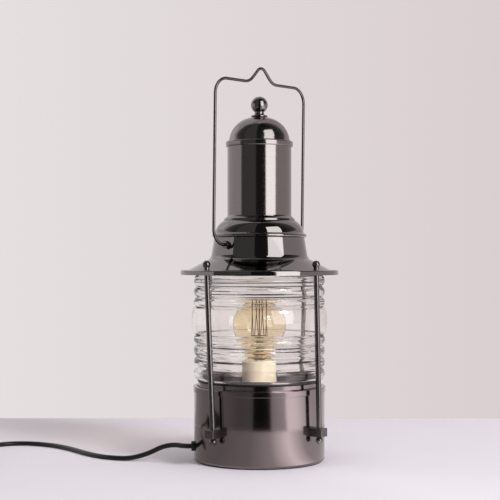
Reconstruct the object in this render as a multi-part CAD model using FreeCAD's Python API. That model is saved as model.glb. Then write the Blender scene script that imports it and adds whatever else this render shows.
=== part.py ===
import FreeCAD, Part
import math
import os

# A ship's lantern made as a mains table lamp, in millimetres.
# The origin is the centre of the base on the table, +Z is up and -Y is the front.
# Angles about the axis are counted from the front towards +X.

# Spun sheet and clearances
sheet_wall = 1.2
slip_gap = 0.1
loose_gap = 0.3

# Base drum, its foot pad and its ballast plate
drum_radius = 75.0
drum_corner = 2.5
base_height = 85.8
foot_height = 1.0
foot_width = 9.0
bottom_lip_width = 12.0
ballast_height = 4.0
plate_screw_count = 4
plate_screw_radius = 1.5
plate_screw_head = 2.6

# Deck cap with its rolled rim, and the gallery that carries the glass
rim_height = 6.9
rim_swell = 0.9
rim_round = 0.8
rim_inner_radius = 71.5
deck_drop = 2.6
deck_wall = 1.5
gallery_radius = 70.6
gallery_height = 8.2
gallery_wall = 1.8
gallery_spigot_height = 5.0
gallery_screw_count = 4
gallery_screw_radius = 1.5
gallery_screw_head = 2.7
gallery_screw_turn = 22.5
gallery_edge = 0.8
gasket_height = 2.0
gasket_overhang = 0.6

# Ribbed glass lens
lens_wall = 4.0
lens_notch_radius = 72.2
lens_rib_radius = 75.4
lens_window_radius = 78.0
lens_window_height = 29.5
lens_ribs_below = 4
lens_ribs_above = 3
lens_rib_pitch_below = 13.1
lens_rib_pitch_above = 12.4
lens_top_land = 2.2
seat_ring_overhang = 3.4

# Guard rods, their brackets and ball nuts
rod_count = 4
rod_radius = 3.0
rod_stud_radius = 2.0
rod_lens_gap = 3.0
rod_lean = 1.7
lid_turn = -5.05
bracket_low = 33.9
bracket_height = 9.4
bracket_nose = 7.0
bracket_width = 12.0
bracket_round = 0.8
bracket_screw_radius = 2.0
bracket_screw_head = 3.4
bracket_screw_head_height = 2.4
bracket_screw_depth = 5.0
bottom_ball_radius = 4.1
top_ball_radius = 4.4
ball_collar_radius = 3.1
ball_collar_height = 2.2
top_nut_gap = 0.35
nut_gap = 0.15

# Lid: brim, bell, shoulder, chimney and dome
brim_overhang = 5.2
brim_skirt_height = 5.5
brim_round = 1.6
brim_crown = 0.4
brim_flat_width = 9.7
brim_rise = 1.8
bell_foot_width = 3.6
bell_foot_height = 5.6
bell_foot_bend = (1.0, 2.8)
bell_low_radius = 55.2
bell_foot_rise = 17.5
bell_top_radius = 52.1
bell_height = 19.5
bell_flange_width = 6.0
shoulder_bead_radius = 2.3
shoulder_neck_height = 0.7
shoulder_low_radius = 51.3
shoulder_height = 19.4
shoulder_bulge = (2.9, 13.0)
shoulder_lip = (1.2, 0.6)
chimney_radius = 36.9
chimney_height = 87.1
chimney_flange_width = 2.4
chimney_collar_radius = 41.4
chimney_collar_height = 5.4
chimney_collar_bevel = (0.7, 2.2)
chimney_foot_round = 0.6
dome_overlap = 2.0
dome_bead_radius = 38.8
dome_bead_height = 6.3
dome_bead_bevel = 1.0
dome_bead_round = 1.6
dome_neck_height = 3.1
dome_low_radius = 34.8
dome_height = 24.8
dome_bulge = (6.9, 14.8)
dome_crown_radius = 9.8
dome_crown_height = 0.4

# Finial and the stud that clamps the lid together
finial_flange_radius = 9.6
finial_flange_height = 2.1
finial_neck_radius = 5.6
finial_ball_radius = 9.8
finial_height = 24.0
stud_radius = 2.0
bridge_width = 12.0
bridge_height = 2.0
hex_nut_flats = 7.0
hex_nut_height = 3.2

# Bail handle and its ears
bail_wire_radius = 1.75
bail_half_width = 75.0
bail_pivot_rise = 11.0
bail_height = 186.4
bail_foot_bend = 17.0
bail_corner_bend = 18.0
bail_azimuth = -50.05
bail_lean = 0.9
crook_half_width = 27.2
crook_top_bend = 8.0
crook_foot_bend = 18.0
crook_slope = 46.0
ear_radius = 4.2
ear_length = 4.15
ear_root = 6.0
bail_bore_gap = 0.08
bail_washer_radius = 4.0
bail_washer_height = 1.0

# Lamp holder on its threaded nipple
nipple_radius = 5.0
nipple_bore = 3.2
nipple_below_deck = 10.0
nipple_nut_radius = 8.0
nipple_nut_height = 3.0
holder_radius = 20.0
holder_height = 27.5
holder_floor = 6.3
holder_round = 2.0
holder_washer_height = 1.5
holder_washer_radius = 12.0
holder_shell_wall = 0.5
holder_contact_height = 1.2

# Bulb
bulb_cap_radius = 13.2
bulb_cap_height = 20.0
bulb_thread_pitch = 3.6
bulb_thread_depth = 0.9
bulb_tip_radius = 4.6
bulb_tip_height = 1.6
bulb_insulator_height = 3.2
bulb_neck_radius = 16.5
bulb_globe_radius = 30.5
bulb_globe_rise = 46.0
bulb_flank_angle = 38.0
bulb_glass_wall = 0.8
bulb_stem_radius = 3.2
bulb_stem_height = 23.0
filament_ring_radius = 9.0
filament_rise = 3.0
filament_height = 37.0
filament_wire_radius = 0.45
filament_strands = 8

# Mains cord, its gland and what holds it inside the drum
cord_radius = 2.8
cord_exit_height = 17.0
gland_flange_radius = 5.6
gland_flange_height = 3.5
gland_thread_radius = 4.2
gland_thread_length = 9.0
gland_nut_flats = 12.0
gland_nut_height = 3.0
anchor_distance = 55.0
anchor_length = 10.0
anchor_width = 14.0
anchor_cover = 6.0
terminal_distance = 30.0
terminal_length = 18.0
terminal_width = 17.0
terminal_height = 12.0
terminal_spacing = 8.0
lead_radius = 1.1

# Switch on the cord
switch_length = 62.0
switch_width = 24.0
switch_height = 18.0
switch_end_width = 12.0
switch_round = 1.5
rocker_width = 10.0
rocker_end_radius = 10.5
rocker_pivot_height = 11.0
rocker_below = 3.0
rocker_above = 7.2
rocker_slope = 8.0
rocker_pin_radius = 1.3
rocker_pin_reach = 1.4
rocker_floor = 2.0

# Coil of the cord that is put away, and the plug at its end
coil_outer_radius = 38.5
coil_pitch = 6.1
coil_half_turns = 7
coil_layer_rise = 6.1
plug_lead = 20.0
plug_length = 36.0
plug_width = 28.0
plug_neck_radius = 5.2
plug_neck_length = 9.0
plug_round = 2.0
plug_pin_radius = 2.0
plug_pin_length = 19.0
plug_pin_spacing = 19.0

# Heights and places that follow from the sizes above
drum_bore = drum_radius - sheet_wall
drum_top = base_height - sheet_wall - slip_gap
deck_top = base_height - deck_drop
gallery_seat = deck_top + gallery_height
lens_low = gallery_seat + gasket_height
lens_window_low = lens_low + lens_ribs_below * lens_rib_pitch_below
lens_window_high = lens_window_low + lens_window_height
lens_top = lens_window_high + lens_ribs_above * lens_rib_pitch_above + lens_top_land
lens_bore_radius = lens_notch_radius - lens_wall
spigot_radius = lens_bore_radius - loose_gap
rod_base_circle = lens_window_radius + rod_lens_gap + rod_radius
rod_lid_circle = rod_base_circle + rod_lean
bracket_reach = rod_base_circle + bracket_nose
seat_ring_low = lens_top + gasket_height
brim_radius = rod_lid_circle + brim_overhang
brim_top = seat_ring_low + brim_rise
brim_low = brim_top - brim_skirt_height
bell_low = brim_top + bell_foot_rise
bell_top = bell_low + bell_height
ballast_top = foot_height + sheet_wall + ballast_height
bracket_top = bracket_low + bracket_height
shoulder_low = bell_top
chimney_low = shoulder_low + shoulder_height
chimney_top = chimney_low + chimney_height
dome_bead_low = chimney_top - dome_overlap
dome_low = dome_bead_low + dome_bead_height + dome_neck_height
dome_top = dome_low + dome_height
bail_pivot_height = bell_low + bail_pivot_rise
bail_bar_height = bail_pivot_height + bail_height
holder_low = deck_top + holder_washer_height
holder_top = holder_low + holder_height
holder_floor_top = holder_low + holder_floor
bulb_tip_low = holder_floor_top + holder_contact_height
bulb_cap_low = bulb_tip_low + bulb_tip_height + bulb_insulator_height
bulb_cap_top = bulb_cap_low + bulb_cap_height
bulb_globe_height = bulb_cap_top + bulb_globe_rise
bulb_stem_top = bulb_cap_top + bulb_stem_height
filament_low = bulb_stem_top + filament_rise
filament_high = filament_low + filament_height
anchor_top = cord_exit_height + anchor_cover
cord_exit_distance = drum_radius + gland_flange_height
coil_top_height = cord_radius + coil_layer_rise
rod_angles = [45.0 + turn * 360.0 / rod_count for turn in range(rod_count)]

# The cord's route from the gland to the switch, and on to the coil, chosen by hand
near_route = [
    (-cord_exit_distance, 0.0, cord_exit_height),
    (-86.5, 0.0, cord_exit_height),
    (-97.5, -1.0, 19.2),
    (-111.5, -1.0, 17.4),
    (-128.0, 2.0, 8.8),
    (-147.0, 7.0, 3.2),
    (-165.0, 14.0, cord_radius),
    (-182.0, 28.0, cord_radius),
    (-198.0, 53.0, cord_radius),
    (-215.0, 89.0, cord_radius),
    (-235.0, 119.0, cord_radius),
    (-257.0, 137.0, cord_radius),
    (-277.0, 144.5, cord_radius),
    (-296.0, 142.0, cord_radius),
    (-311.0, 131.0, cord_radius),
    (-323.0, 113.5, cord_radius),
    (-331.0, 96.0, 3.6),
    (-333.0, 80.0, 9.0),
    (-333.0, 66.0, 9.0),
]
far_route = [
    (-333.0, 4.0, 9.0),
    (-333.0, -10.0, 9.0),
    (-334.0, -28.0, 3.4),
    (-331.0, -46.0, cord_radius),
    (-333.0, -62.0, cord_radius),
    (-333.0, -76.0, cord_radius),
]

axis_up = FreeCAD.Vector(0, 0, 1)
base_point = FreeCAD.Vector(0, 0, 0)


def outward(angle):
    """The level direction at an angle about the lamp's axis."""
    turn = math.radians(angle)
    return FreeCAD.Vector(math.sin(turn), -math.cos(turn), 0)


def around(radius, angle, height):
    """A point at a radius, an angle and a height."""
    return outward(angle) * radius + axis_up * height


def outline(steps):
    """A wire in the XZ plane. Two numbers are a corner, and four are an arc through the first two."""
    start = FreeCAD.Vector(steps[0][0], 0, steps[0][1])
    edges = []
    for step in steps[1:]:
        end = FreeCAD.Vector(step[-2], 0, step[-1])
        if len(step) == 4:
            middle = FreeCAD.Vector(step[0], 0, step[1])
            edges.append(Part.Arc(start, middle, end).toShape())
        else:
            edges.append(Part.LineSegment(start, end).toShape())
        start = end
    return Part.Wire(edges)


def turned(steps):
    """A solid turned about the lamp's axis from a closed outline."""
    face = Part.Face(outline(steps + [steps[0]]))
    return face.revolve(base_point, axis_up, 360)


def spun(steps, wall):
    """A sheet spun about the lamp's axis, from its outer outline and its wall."""
    outer = outline(steps)
    inner = outer.makeOffset2D(wall, 2, False, True)
    outer_ends = [outer.OrderedVertexes[0].Point, outer.OrderedVertexes[-1].Point]
    inner_ends = [inner.OrderedVertexes[0].Point, inner.OrderedVertexes[-1].Point]
    if inner_ends[0].distanceToPoint(outer_ends[0]) > inner_ends[1].distanceToPoint(outer_ends[0]):
        inner_ends.reverse()
    joins = [Part.LineSegment(a, b).toShape() for a, b in zip(outer_ends, inner_ends)]
    edges = Part.__sortEdges__(outer.Edges + inner.Edges + joins)
    return Part.Face(Part.Wire(edges)).revolve(base_point, axis_up, 360)


def disc(radius, low, height, bore=0.0):
    """A flat disc or ring on the lamp's axis."""
    solid = Part.makeCylinder(radius, height, axis_up * low)
    if bore:
        solid = solid.cut(Part.makeCylinder(bore, height, axis_up * low))
    return solid


def bar(start, end, radius):
    """A round bar from one point to another."""
    along = end - start
    return Part.makeCylinder(radius, along.Length, start, along)


def block(length, width, height, centre, low, angle=0.0):
    """A block whose length lies along +X before it is turned about the lamp's axis."""
    corner = FreeCAD.Vector(centre - length / 2, -width / 2, low)
    solid = Part.makeBox(length, width, height, corner)
    solid.rotate(base_point, axis_up, angle)
    return solid


def hexagon(flats, height, start, along):
    """A hexagon nut's outer shape."""
    corners = flats / math.sqrt(3)
    points = []
    for side in range(7):
        turn = math.radians(60 * side)
        points.append(FreeCAD.Vector(corners * math.cos(turn), corners * math.sin(turn), 0))
    solid = Part.Face(Part.makePolygon(points)).extrude(axis_up * height)
    solid.Placement = FreeCAD.Placement(start, FreeCAD.Rotation(axis_up, along))
    return solid


def corner_arc(before, corner, after, radius):
    """The tangent arc that rounds one corner of a route, as its start, middle and end."""
    back = (before - corner).normalize()
    ahead = (after - corner).normalize()
    half_turn = (math.pi - back.getAngle(ahead)) / 2
    reach = radius * math.tan(half_turn)
    middle_way = (back + ahead).normalize()
    to_centre = radius / math.cos(half_turn)
    middle = corner + middle_way * (to_centre - radius)
    return corner + back * reach, middle, corner + ahead * reach


def route_wire(points, radii):
    """Straight runs joined by tangent arcs of the given radii."""
    edges = []
    start = points[0]
    for before, corner, after, radius in zip(points, points[1:], points[2:], radii):
        arc_start, arc_middle, arc_end = corner_arc(before, corner, after, radius)
        if start.distanceToPoint(arc_start) > 0.001:
            edges.append(Part.LineSegment(start, arc_start).toShape())
        edges.append(Part.Arc(arc_start, arc_middle, arc_end).toShape())
        start = arc_end
    edges.append(Part.LineSegment(start, points[-1]).toShape())
    return Part.Wire(edges)


def swept(wire, radius):
    """A round tube along a wire that starts straight."""
    first = wire.OrderedEdges[0]
    start = wire.OrderedVertexes[0].Point
    along = first.tangentAt(first.FirstParameter)
    section = Part.Wire(Part.makeCircle(radius, start, along))
    return wire.makePipeShell([section], True, False)


def cord_tube(name, route):
    """A free stretch of cord, with each arc as large as its two runs allow."""
    points = [FreeCAD.Vector(*point) for point in route]
    radii = []
    for before, corner, after in zip(points, points[1:], points[2:]):
        turn = math.pi - (before - corner).getAngle(after - corner)
        shorter = min(before.distanceToPoint(corner), after.distanceToPoint(corner))
        radii.append(0.45 * shorter / math.tan(turn / 2))
    wire = route_wire(points, radii)
    tube = swept(wire, cord_radius)
    share = tube.Volume / (math.pi * cord_radius**2 * wire.Length)
    print(name, "radii", [round(radius) for radius in radii])
    print(name, "length", round(wire.Length, 1), "volume over section times length", round(share, 4))
    return tube


def group(solids):
    """Alike pieces that share a node."""
    return Part.makeCompound(solids)


def ring_of(count, make, first=0.0):
    """Copies of a piece round the lamp's axis, made at each angle."""
    return [make(first + 360.0 * number / count) for number in range(count)]


def make_base_drum():
    inner_lip = drum_radius - bottom_lip_width
    shift = drum_corner * (1 - math.cos(math.radians(45)))
    steps = [
        (inner_lip, foot_height),
        (drum_radius - drum_corner, foot_height),
        (drum_radius - shift, foot_height + shift, drum_radius, foot_height + drum_corner),
        (drum_radius, drum_top),
    ]
    drum = spun(steps, sheet_wall)
    for angle in rod_angles:
        drum = drum.cut(bracket_bore(angle, bracket_screw_radius + slip_gap))
    gland_hole = bar(around(drum_bore - 2, -90, cord_exit_height),
                     around(drum_radius + 2, -90, cord_exit_height), gland_thread_radius + slip_gap)
    drum = drum.cut(gland_hole)
    for hole in plate_screw_bores(plate_screw_radius + slip_gap):
        drum = drum.cut(hole)
    return drum


def plate_screw_circle():
    return drum_bore - bottom_lip_width / 2


def plate_screw_bores(radius):
    """The bores of the screws that hold the ballast plate on the drum's bottom lip."""
    def bore(angle):
        return bar(around(plate_screw_circle(), angle, 0), around(plate_screw_circle(), angle, ballast_top), radius)
    return ring_of(plate_screw_count, bore)


def make_ballast_plate():
    plate = disc(drum_bore - loose_gap, foot_height + sheet_wall, ballast_height)
    plate = plate.cut(disc(drum_bore, foot_height + sheet_wall, drum_corner).cut(
        disc(drum_bore - drum_corner, foot_height + sheet_wall, drum_corner)))
    for hole in plate_screw_bores(plate_screw_radius):
        plate = plate.cut(hole)
    return plate


def make_plate_screws():
    def screw(angle):
        shank = bar(around(plate_screw_circle(), angle, foot_height), around(plate_screw_circle(), angle, ballast_top),
                    plate_screw_radius)
        head = bar(around(plate_screw_circle(), angle, 0.2), around(plate_screw_circle(), angle, foot_height),
                   plate_screw_head)
        return shank.fuse(head)
    return group(ring_of(plate_screw_count, screw))


def make_foot_pad():
    outer = drum_radius - drum_corner
    pad = disc(outer, 0, foot_height, outer - foot_width)
    for hole in plate_screw_bores(plate_screw_head + loose_gap):
        pad = pad.cut(hole)
    return pad


def make_deck_cap():
    skirt = drum_radius + slip_gap
    outer = drum_radius + rim_swell
    low = base_height - rim_height
    inner = rim_inner_radius
    nub = rim_round * (1 - math.cos(math.radians(45)))
    inner_round = sheet_wall / 2
    inner_nub = inner_round * (1 - math.cos(math.radians(45)))
    cap = turned([
        (skirt, low),
        (outer - inner_round, low),
        (outer - inner_nub, low + inner_nub, outer, low + inner_round),
        (outer, base_height - rim_round),
        (outer - nub, base_height - nub, outer - rim_round, base_height),
        (inner + inner_round, base_height),
        (inner + inner_nub, base_height - inner_nub, inner, base_height - inner_round),
        (inner, deck_top),
        (nipple_radius + slip_gap, deck_top),
        (nipple_radius + slip_gap, deck_top - deck_wall),
        (inner + sheet_wall, deck_top - deck_wall),
        (inner + sheet_wall, base_height - sheet_wall),
        (skirt, base_height - sheet_wall),
    ])
    for hole in gallery_screw_bores(gallery_screw_radius + slip_gap):
        cap = cap.cut(hole)
    return cap


def gallery_screw_bores(radius):
    """The bores of the screws that hold the gallery ring on the deck."""
    circle = (gallery_radius + spigot_radius - gallery_wall) / 2

    def bore(angle):
        low = deck_top - deck_wall
        return bar(around(circle, angle, low), around(circle, angle, deck_top + gallery_height / 2), radius)
    return ring_of(gallery_screw_count, bore, gallery_screw_turn)


def make_gallery_ring():
    inner = spigot_radius - gallery_wall
    edge = gallery_edge
    ring = turned([
        (inner, deck_top),
        (gallery_radius, deck_top),
        (gallery_radius, gallery_seat - edge),
        (gallery_radius - edge, gallery_seat),
        (spigot_radius, gallery_seat),
        (spigot_radius, gallery_seat + gallery_spigot_height - edge),
        (spigot_radius - edge, gallery_seat + gallery_spigot_height),
        (inner, gallery_seat + gallery_spigot_height),
    ])
    for hole in gallery_screw_bores(gallery_screw_radius):
        ring = ring.cut(hole)
    return ring


def make_gallery_screws():
    circle = (gallery_radius + spigot_radius - gallery_wall) / 2
    heads = ring_of(gallery_screw_count, lambda angle: bar(
        around(circle, angle, deck_top - deck_wall - 2), around(circle, angle, deck_top - deck_wall),
        gallery_screw_head), gallery_screw_turn)
    return group([shank.fuse(head) for shank, head in zip(gallery_screw_bores(gallery_screw_radius), heads)])


def make_lens_gasket_lower():
    return disc(gallery_radius + gasket_overhang, gallery_seat, gasket_height, spigot_radius + slip_gap)


def lens_form(inset):
    """The lens's outline as a solid: rounded ribs below and above a plain bulged window, less an inset."""
    notch = lens_notch_radius - inset
    crest = lens_rib_radius - inset
    steps = [(0, lens_low), (notch, lens_low)]
    for number in range(lens_ribs_below):
        low = lens_low + number * lens_rib_pitch_below
        steps.append((crest, low + lens_rib_pitch_below / 2, notch, low + lens_rib_pitch_below))
    steps += [
        (crest, lens_window_low),
        (lens_window_radius - inset, (lens_window_low + lens_window_high) / 2, crest, lens_window_high),
        (notch, lens_window_high),
    ]
    for number in range(lens_ribs_above):
        low = lens_window_high + number * lens_rib_pitch_above
        steps.append((crest, low + lens_rib_pitch_above / 2, notch, low + lens_rib_pitch_above))
    steps += [(notch, lens_top), (0, lens_top)]
    return turned(steps)


def make_fresnel_lens():
    """The glass lens, moulded with an even wall, so that the ribs show inside and outside."""
    return lens_form(0).cut(lens_form(lens_wall))


def lid_steps():
    """The outer outline of the brim and the bell, from the brim's edge up to the bell's top."""
    nub = brim_round * (1 - math.cos(math.radians(45)))
    return [
        (brim_radius, brim_low),
        (brim_radius, brim_top - brim_round),
        (brim_radius - nub, brim_top - nub, brim_radius - brim_round, brim_top),
        (brim_radius - brim_flat_width, brim_top + brim_crown),
        (bell_low_radius + bell_foot_width, bell_low - bell_foot_height),
        (bell_low_radius + bell_foot_bend[0], bell_low - bell_foot_bend[1], bell_low_radius, bell_low),
        (bell_top_radius, bell_top),
    ]


def brim_underside(radius):
    """The height of the underside of the brim's cone at a radius."""
    cone_width = brim_radius - brim_flat_width - bell_low_radius - bell_foot_width
    cone_height = bell_low - bell_foot_height - brim_top - brim_crown
    slope = cone_height / cone_width
    top = brim_top + brim_crown + (brim_radius - brim_flat_width - radius) * slope
    return top - sheet_wall * math.hypot(1, slope)


def make_lens_seat_ring():
    """The ring that centres the lens, and carries the brim's cone on its upper edge."""
    inner = spigot_radius - gallery_wall
    low = seat_ring_low
    outer = lens_notch_radius + seat_ring_overhang
    top = brim_underside(outer) - slip_gap
    return turned([
        (inner, low - gallery_spigot_height),
        (spigot_radius, low - gallery_spigot_height),
        (spigot_radius, low),
        (outer, low),
        (outer, top),
        (inner, top),
    ])


def make_lens_gasket_upper():
    return disc(lens_notch_radius, lens_top, gasket_height, spigot_radius + slip_gap)


def bell_radius(height):
    """The bell's outer radius on its straight flank."""
    share = (height - bell_low) / (bell_top - bell_low)
    return bell_low_radius + share * (bell_top_radius - bell_low_radius)


def rod_line(angle):
    """A rod's axis, from the circle of the brackets to the circle in the turned lid."""
    low = around(rod_base_circle, angle, (bracket_low + bracket_top) / 2)
    high = around(rod_lid_circle, angle + lid_turn, brim_top)
    return low, (high - low).normalize()


def rod_point(angle, height):
    low, along = rod_line(angle)
    return low + along * ((height - low.z) / along.z)


def bracket_bore(angle, radius):
    """The bore of the screw that holds a bracket on the drum."""
    height = (bracket_low + bracket_top) / 2
    return bar(around(drum_bore - 1, angle, height), around(drum_radius + bracket_screw_depth, angle, height), radius)


def make_rod_bracket(angle):
    middle = (drum_bore + bracket_reach) / 2
    length = bracket_reach - drum_bore
    solid = block(length, bracket_width, bracket_height, middle, bracket_low)
    corners = [edge for edge in solid.Edges if edge.CenterOfMass.x > bracket_reach - 0.01]
    solid = solid.makeFillet(bracket_round, corners)
    solid.rotate(base_point, axis_up, angle - 90)
    solid = solid.cut(disc(drum_radius, bracket_low, bracket_height))
    solid = solid.cut(bar(rod_point(angle, bracket_low - 2), rod_point(angle, bracket_top + 2),
                          rod_stud_radius + nut_gap))
    return solid.cut(bracket_bore(angle, bracket_screw_radius))


def make_bracket_screws():
    height = (bracket_low + bracket_top) / 2
    head_face = math.sqrt(drum_bore**2 - bracket_screw_head**2)

    def screw(angle):
        shank = bar(around(head_face, angle, height), around(drum_radius + bracket_screw_depth, angle, height),
                    bracket_screw_radius)
        head = bar(around(head_face - bracket_screw_head_height, angle, height), around(head_face, angle, height),
                   bracket_screw_head)
        return shank.fuse(head)
    return group([screw(angle) for angle in rod_angles])


def make_tie_rod(angle):
    shoulder_low = rod_point(angle, bracket_top + nut_gap)
    shoulder_high = rod_point(angle, brim_top - sheet_wall - nut_gap)
    stud_low = rod_point(angle, bracket_low - bottom_ball_radius - 1)
    stud_high = rod_point(angle, brim_top + ball_collar_height + top_ball_radius)
    return bar(shoulder_low, shoulder_high, rod_radius).fuse(bar(stud_low, stud_high, rod_stud_radius))


def make_rod_bottom_nut(angle):
    along = rod_line(angle)[1]
    centre = rod_point(angle, bracket_low - bottom_ball_radius - nut_gap)
    ball = Part.makeSphere(bottom_ball_radius, centre)
    return ball.cut(bar(centre - along * (bottom_ball_radius - 2.9), centre + along * bottom_ball_radius * 2,
                        rod_stud_radius))


def make_rod_top_nut(angle):
    along = rod_line(angle)[1]
    foot = rod_point(angle, brim_top + top_nut_gap)
    centre = foot + along * (ball_collar_height + top_ball_radius * 0.9)
    nut = Part.makeSphere(top_ball_radius, centre).fuse(bar(foot, centre, ball_collar_radius))
    stud_end = rod_point(angle, brim_top + ball_collar_height + top_ball_radius)
    return nut.cut(bar(foot - along * 2, stud_end, rod_stud_radius))


def make_lid_bell():
    steps = lid_steps() + [(bell_top_radius - bell_flange_width, bell_top)]
    bell = spun(steps, sheet_wall)
    for angle in rod_angles:
        bell = bell.cut(bar(rod_point(angle, brim_low), rod_point(angle, brim_top + 4), rod_stud_radius + loose_gap))
    pivot = outward(bail_azimuth)
    return bell.cut(bar(axis_up * bail_pivot_height - pivot * bell_low_radius,
                        axis_up * bail_pivot_height + pivot * bell_low_radius, bail_wire_radius + loose_gap))


def lid_core():
    """All that lies inside the outer outline of the brim and the bell."""
    return turned(lid_steps() + [(0.0, bell_top), (0.0, brim_low)])


def make_lid_shoulder():
    """The rounded cap on the bell, with its rolled bead."""
    low = shoulder_low + slip_gap
    bead = shoulder_bead_radius
    middle_radius = bell_top_radius + slip_gap
    top = shoulder_low + shoulder_height
    steps = [
        (bell_top_radius - bell_flange_width + 1, low),
        (middle_radius, low),
        (middle_radius + bead, low + bead, middle_radius, low + 2 * bead),
        (shoulder_low_radius, low + 2 * bead + shoulder_neck_height),
        (shoulder_low_radius - shoulder_bulge[0], low + shoulder_bulge[1],
         chimney_collar_radius + shoulder_lip[0], top - shoulder_lip[1]),
        (chimney_collar_radius, top),
        (chimney_radius - chimney_flange_width - shoulder_neck_height, top),
    ]
    return spun(steps, sheet_wall)


def make_chimney_tube():
    """The straight chimney with its sloping foot collar."""
    low = chimney_low + slip_gap
    steps = [
        (chimney_radius - chimney_flange_width, low),
        (chimney_collar_radius, low),
        (chimney_collar_radius - chimney_collar_bevel[0], low + chimney_collar_bevel[1]),
        (chimney_radius + chimney_foot_round, low + chimney_collar_height - chimney_foot_round),
        (chimney_radius, low + chimney_collar_height + chimney_foot_round),
        (chimney_radius, chimney_top),
    ]
    return spun(steps, sheet_wall)


def make_dome_cap():
    """The domed cap, with a rolled bead where it sits over the chimney."""
    top = dome_bead_low + dome_bead_height
    skirt = chimney_radius + slip_gap + sheet_wall
    nub = dome_bead_round * (1 - math.cos(math.radians(45)))
    steps = [
        (skirt, dome_bead_low),
        (dome_bead_radius, dome_bead_low + dome_bead_bevel),
        (dome_bead_radius, top - dome_bead_round),
        (dome_bead_radius - nub, top - nub, dome_bead_radius - dome_bead_round, top),
        (dome_low_radius + dome_bead_bevel, top + dome_crown_height),
        (dome_low_radius + dome_crown_height, dome_low - dome_bead_bevel),
        (dome_low_radius, dome_low),
        (dome_low_radius - dome_bulge[0], dome_low + dome_bulge[1], dome_crown_radius, dome_top - dome_crown_height),
        (stud_radius + slip_gap, dome_top),
    ]
    return spun(steps, sheet_wall)


def make_finial():
    low = dome_top
    ball_centre = low + finial_height - finial_ball_radius
    flange_top = low + finial_flange_height
    neck_top = ball_centre - math.sqrt(finial_ball_radius**2 - finial_neck_radius**2)
    solid = turned([
        (0.0, low),
        (finial_flange_radius - 0.5, low),
        (finial_flange_radius, low + finial_flange_height / 2, finial_flange_radius - 0.5, flange_top),
        (finial_neck_radius + 1.2, flange_top + 0.2),
        (finial_neck_radius, (flange_top + neck_top) / 2, finial_neck_radius, neck_top),
        (finial_ball_radius, ball_centre, 0.0, ball_centre + finial_ball_radius),
    ])
    return solid.cut(Part.makeCylinder(stud_radius, finial_height / 2, axis_up * low))


def make_lid_stud():
    low = bell_top - sheet_wall - bridge_height - hex_nut_height - 1.5
    return Part.makeCylinder(stud_radius, dome_top + finial_height / 2 - low, axis_up * low)


def make_lid_bridge():
    length = 2 * (bell_top_radius - sheet_wall - 1.5)
    low = bell_top - sheet_wall - bridge_height
    solid = block(length, bridge_width, bridge_height, 0, low, bail_azimuth)
    return solid.cut(Part.makeCylinder(stud_radius + slip_gap, bridge_height, axis_up * low))


def make_lid_stud_nut():
    low = bell_top - sheet_wall - bridge_height - hex_nut_height
    nut = hexagon(hex_nut_flats, hex_nut_height, axis_up * low, axis_up)
    return nut.cut(Part.makeCylinder(stud_radius, hex_nut_height, axis_up * low))


def bail_point(across, height):
    """A point in the upright plane of the bail."""
    return outward(bail_azimuth) * across + axis_up * height


def bail_inner_end():
    """How far in the washer on the wire's end reaches its outer face."""
    inner = bell_radius(bail_pivot_height + bail_washer_radius) - sheet_wall
    return math.sqrt(inner**2 - bail_washer_radius**2) - loose_gap


def make_bail_handle():
    """One bent wire: two ends in the ears, two legs, and a crook in the middle of the top bar."""
    slope = math.radians(crook_slope)
    bends = crook_top_bend + crook_foot_bend
    straight = (crook_half_width - bends * math.sin(slope)) / math.cos(slope)
    rise = bends * (1 - math.cos(slope)) + straight * math.sin(slope)
    foot_corner = crook_half_width - crook_foot_bend * math.tan(slope / 2)
    top_corner = crook_top_bend * math.tan(slope / 2)
    inner = bail_inner_end() - bail_washer_height
    half = [
        bail_point(-inner, bail_pivot_height),
        bail_point(-bail_half_width, bail_pivot_height),
        bail_point(-bail_half_width, bail_bar_height),
        bail_point(-foot_corner, bail_bar_height),
        bail_point(-top_corner, bail_bar_height + rise),
    ]
    other = [bail_point(top_corner, bail_bar_height + rise)]
    other.append(bail_point(foot_corner, bail_bar_height))
    other.append(bail_point(bail_half_width, bail_bar_height))
    other.append(bail_point(bail_half_width, bail_pivot_height))
    other.append(bail_point(inner, bail_pivot_height))
    radii = [bail_foot_bend, bail_corner_bend, crook_foot_bend, crook_top_bend]
    handle = swept(route_wire(half + other, radii + radii[::-1]), bail_wire_radius)
    handle.rotate(axis_up * bail_pivot_height, outward(bail_azimuth), -bail_lean)
    return handle


def make_bail_washers():
    def washer(side):
        face = bail_inner_end()
        solid = bar(bail_point(side * face, bail_pivot_height),
                    bail_point(side * (face - bail_washer_height), bail_pivot_height), bail_washer_radius)
        return solid.cut(bar(bail_point(side * (face + 1), bail_pivot_height),
                             bail_point(side * (face - 2), bail_pivot_height), bail_wire_radius))
    return group([washer(-1), washer(1)])


def make_bail_ear(side):
    """The bush on the bell's flank that an end of the wire turns in."""
    wall = bell_radius(bail_pivot_height)
    start = bail_point(side * (wall - ear_root), bail_pivot_height)
    end = bail_point(side * (wall + ear_length), bail_pivot_height)
    bore_end = bail_point(side * (wall + 2 * ear_length), bail_pivot_height)
    ear = bar(start, end, ear_radius).cut(lid_core())
    return ear.cut(bar(start, bore_end, bail_wire_radius + bail_bore_gap))


def make_holder_body():
    """The porcelain lamp holder."""
    bore = bulb_cap_radius + loose_gap + holder_shell_wall + slip_gap
    nub = holder_round * (1 - math.cos(math.radians(45)))
    return turned([
        (nipple_radius + slip_gap, holder_low),
        (holder_radius - 1.5, holder_low),
        (holder_radius, holder_low + 1.5),
        (holder_radius, holder_top - holder_round),
        (holder_radius - nub, holder_top - nub, holder_radius - holder_round, holder_top),
        (bore + 0.8, holder_top),
        (bore, holder_top - 0.8),
        (bore, holder_floor_top),
        (nipple_radius - 2, holder_floor_top),
        (nipple_radius - 2, holder_floor_top - 1.5),
        (nipple_radius + slip_gap, holder_floor_top - 1.5),
    ])


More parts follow.
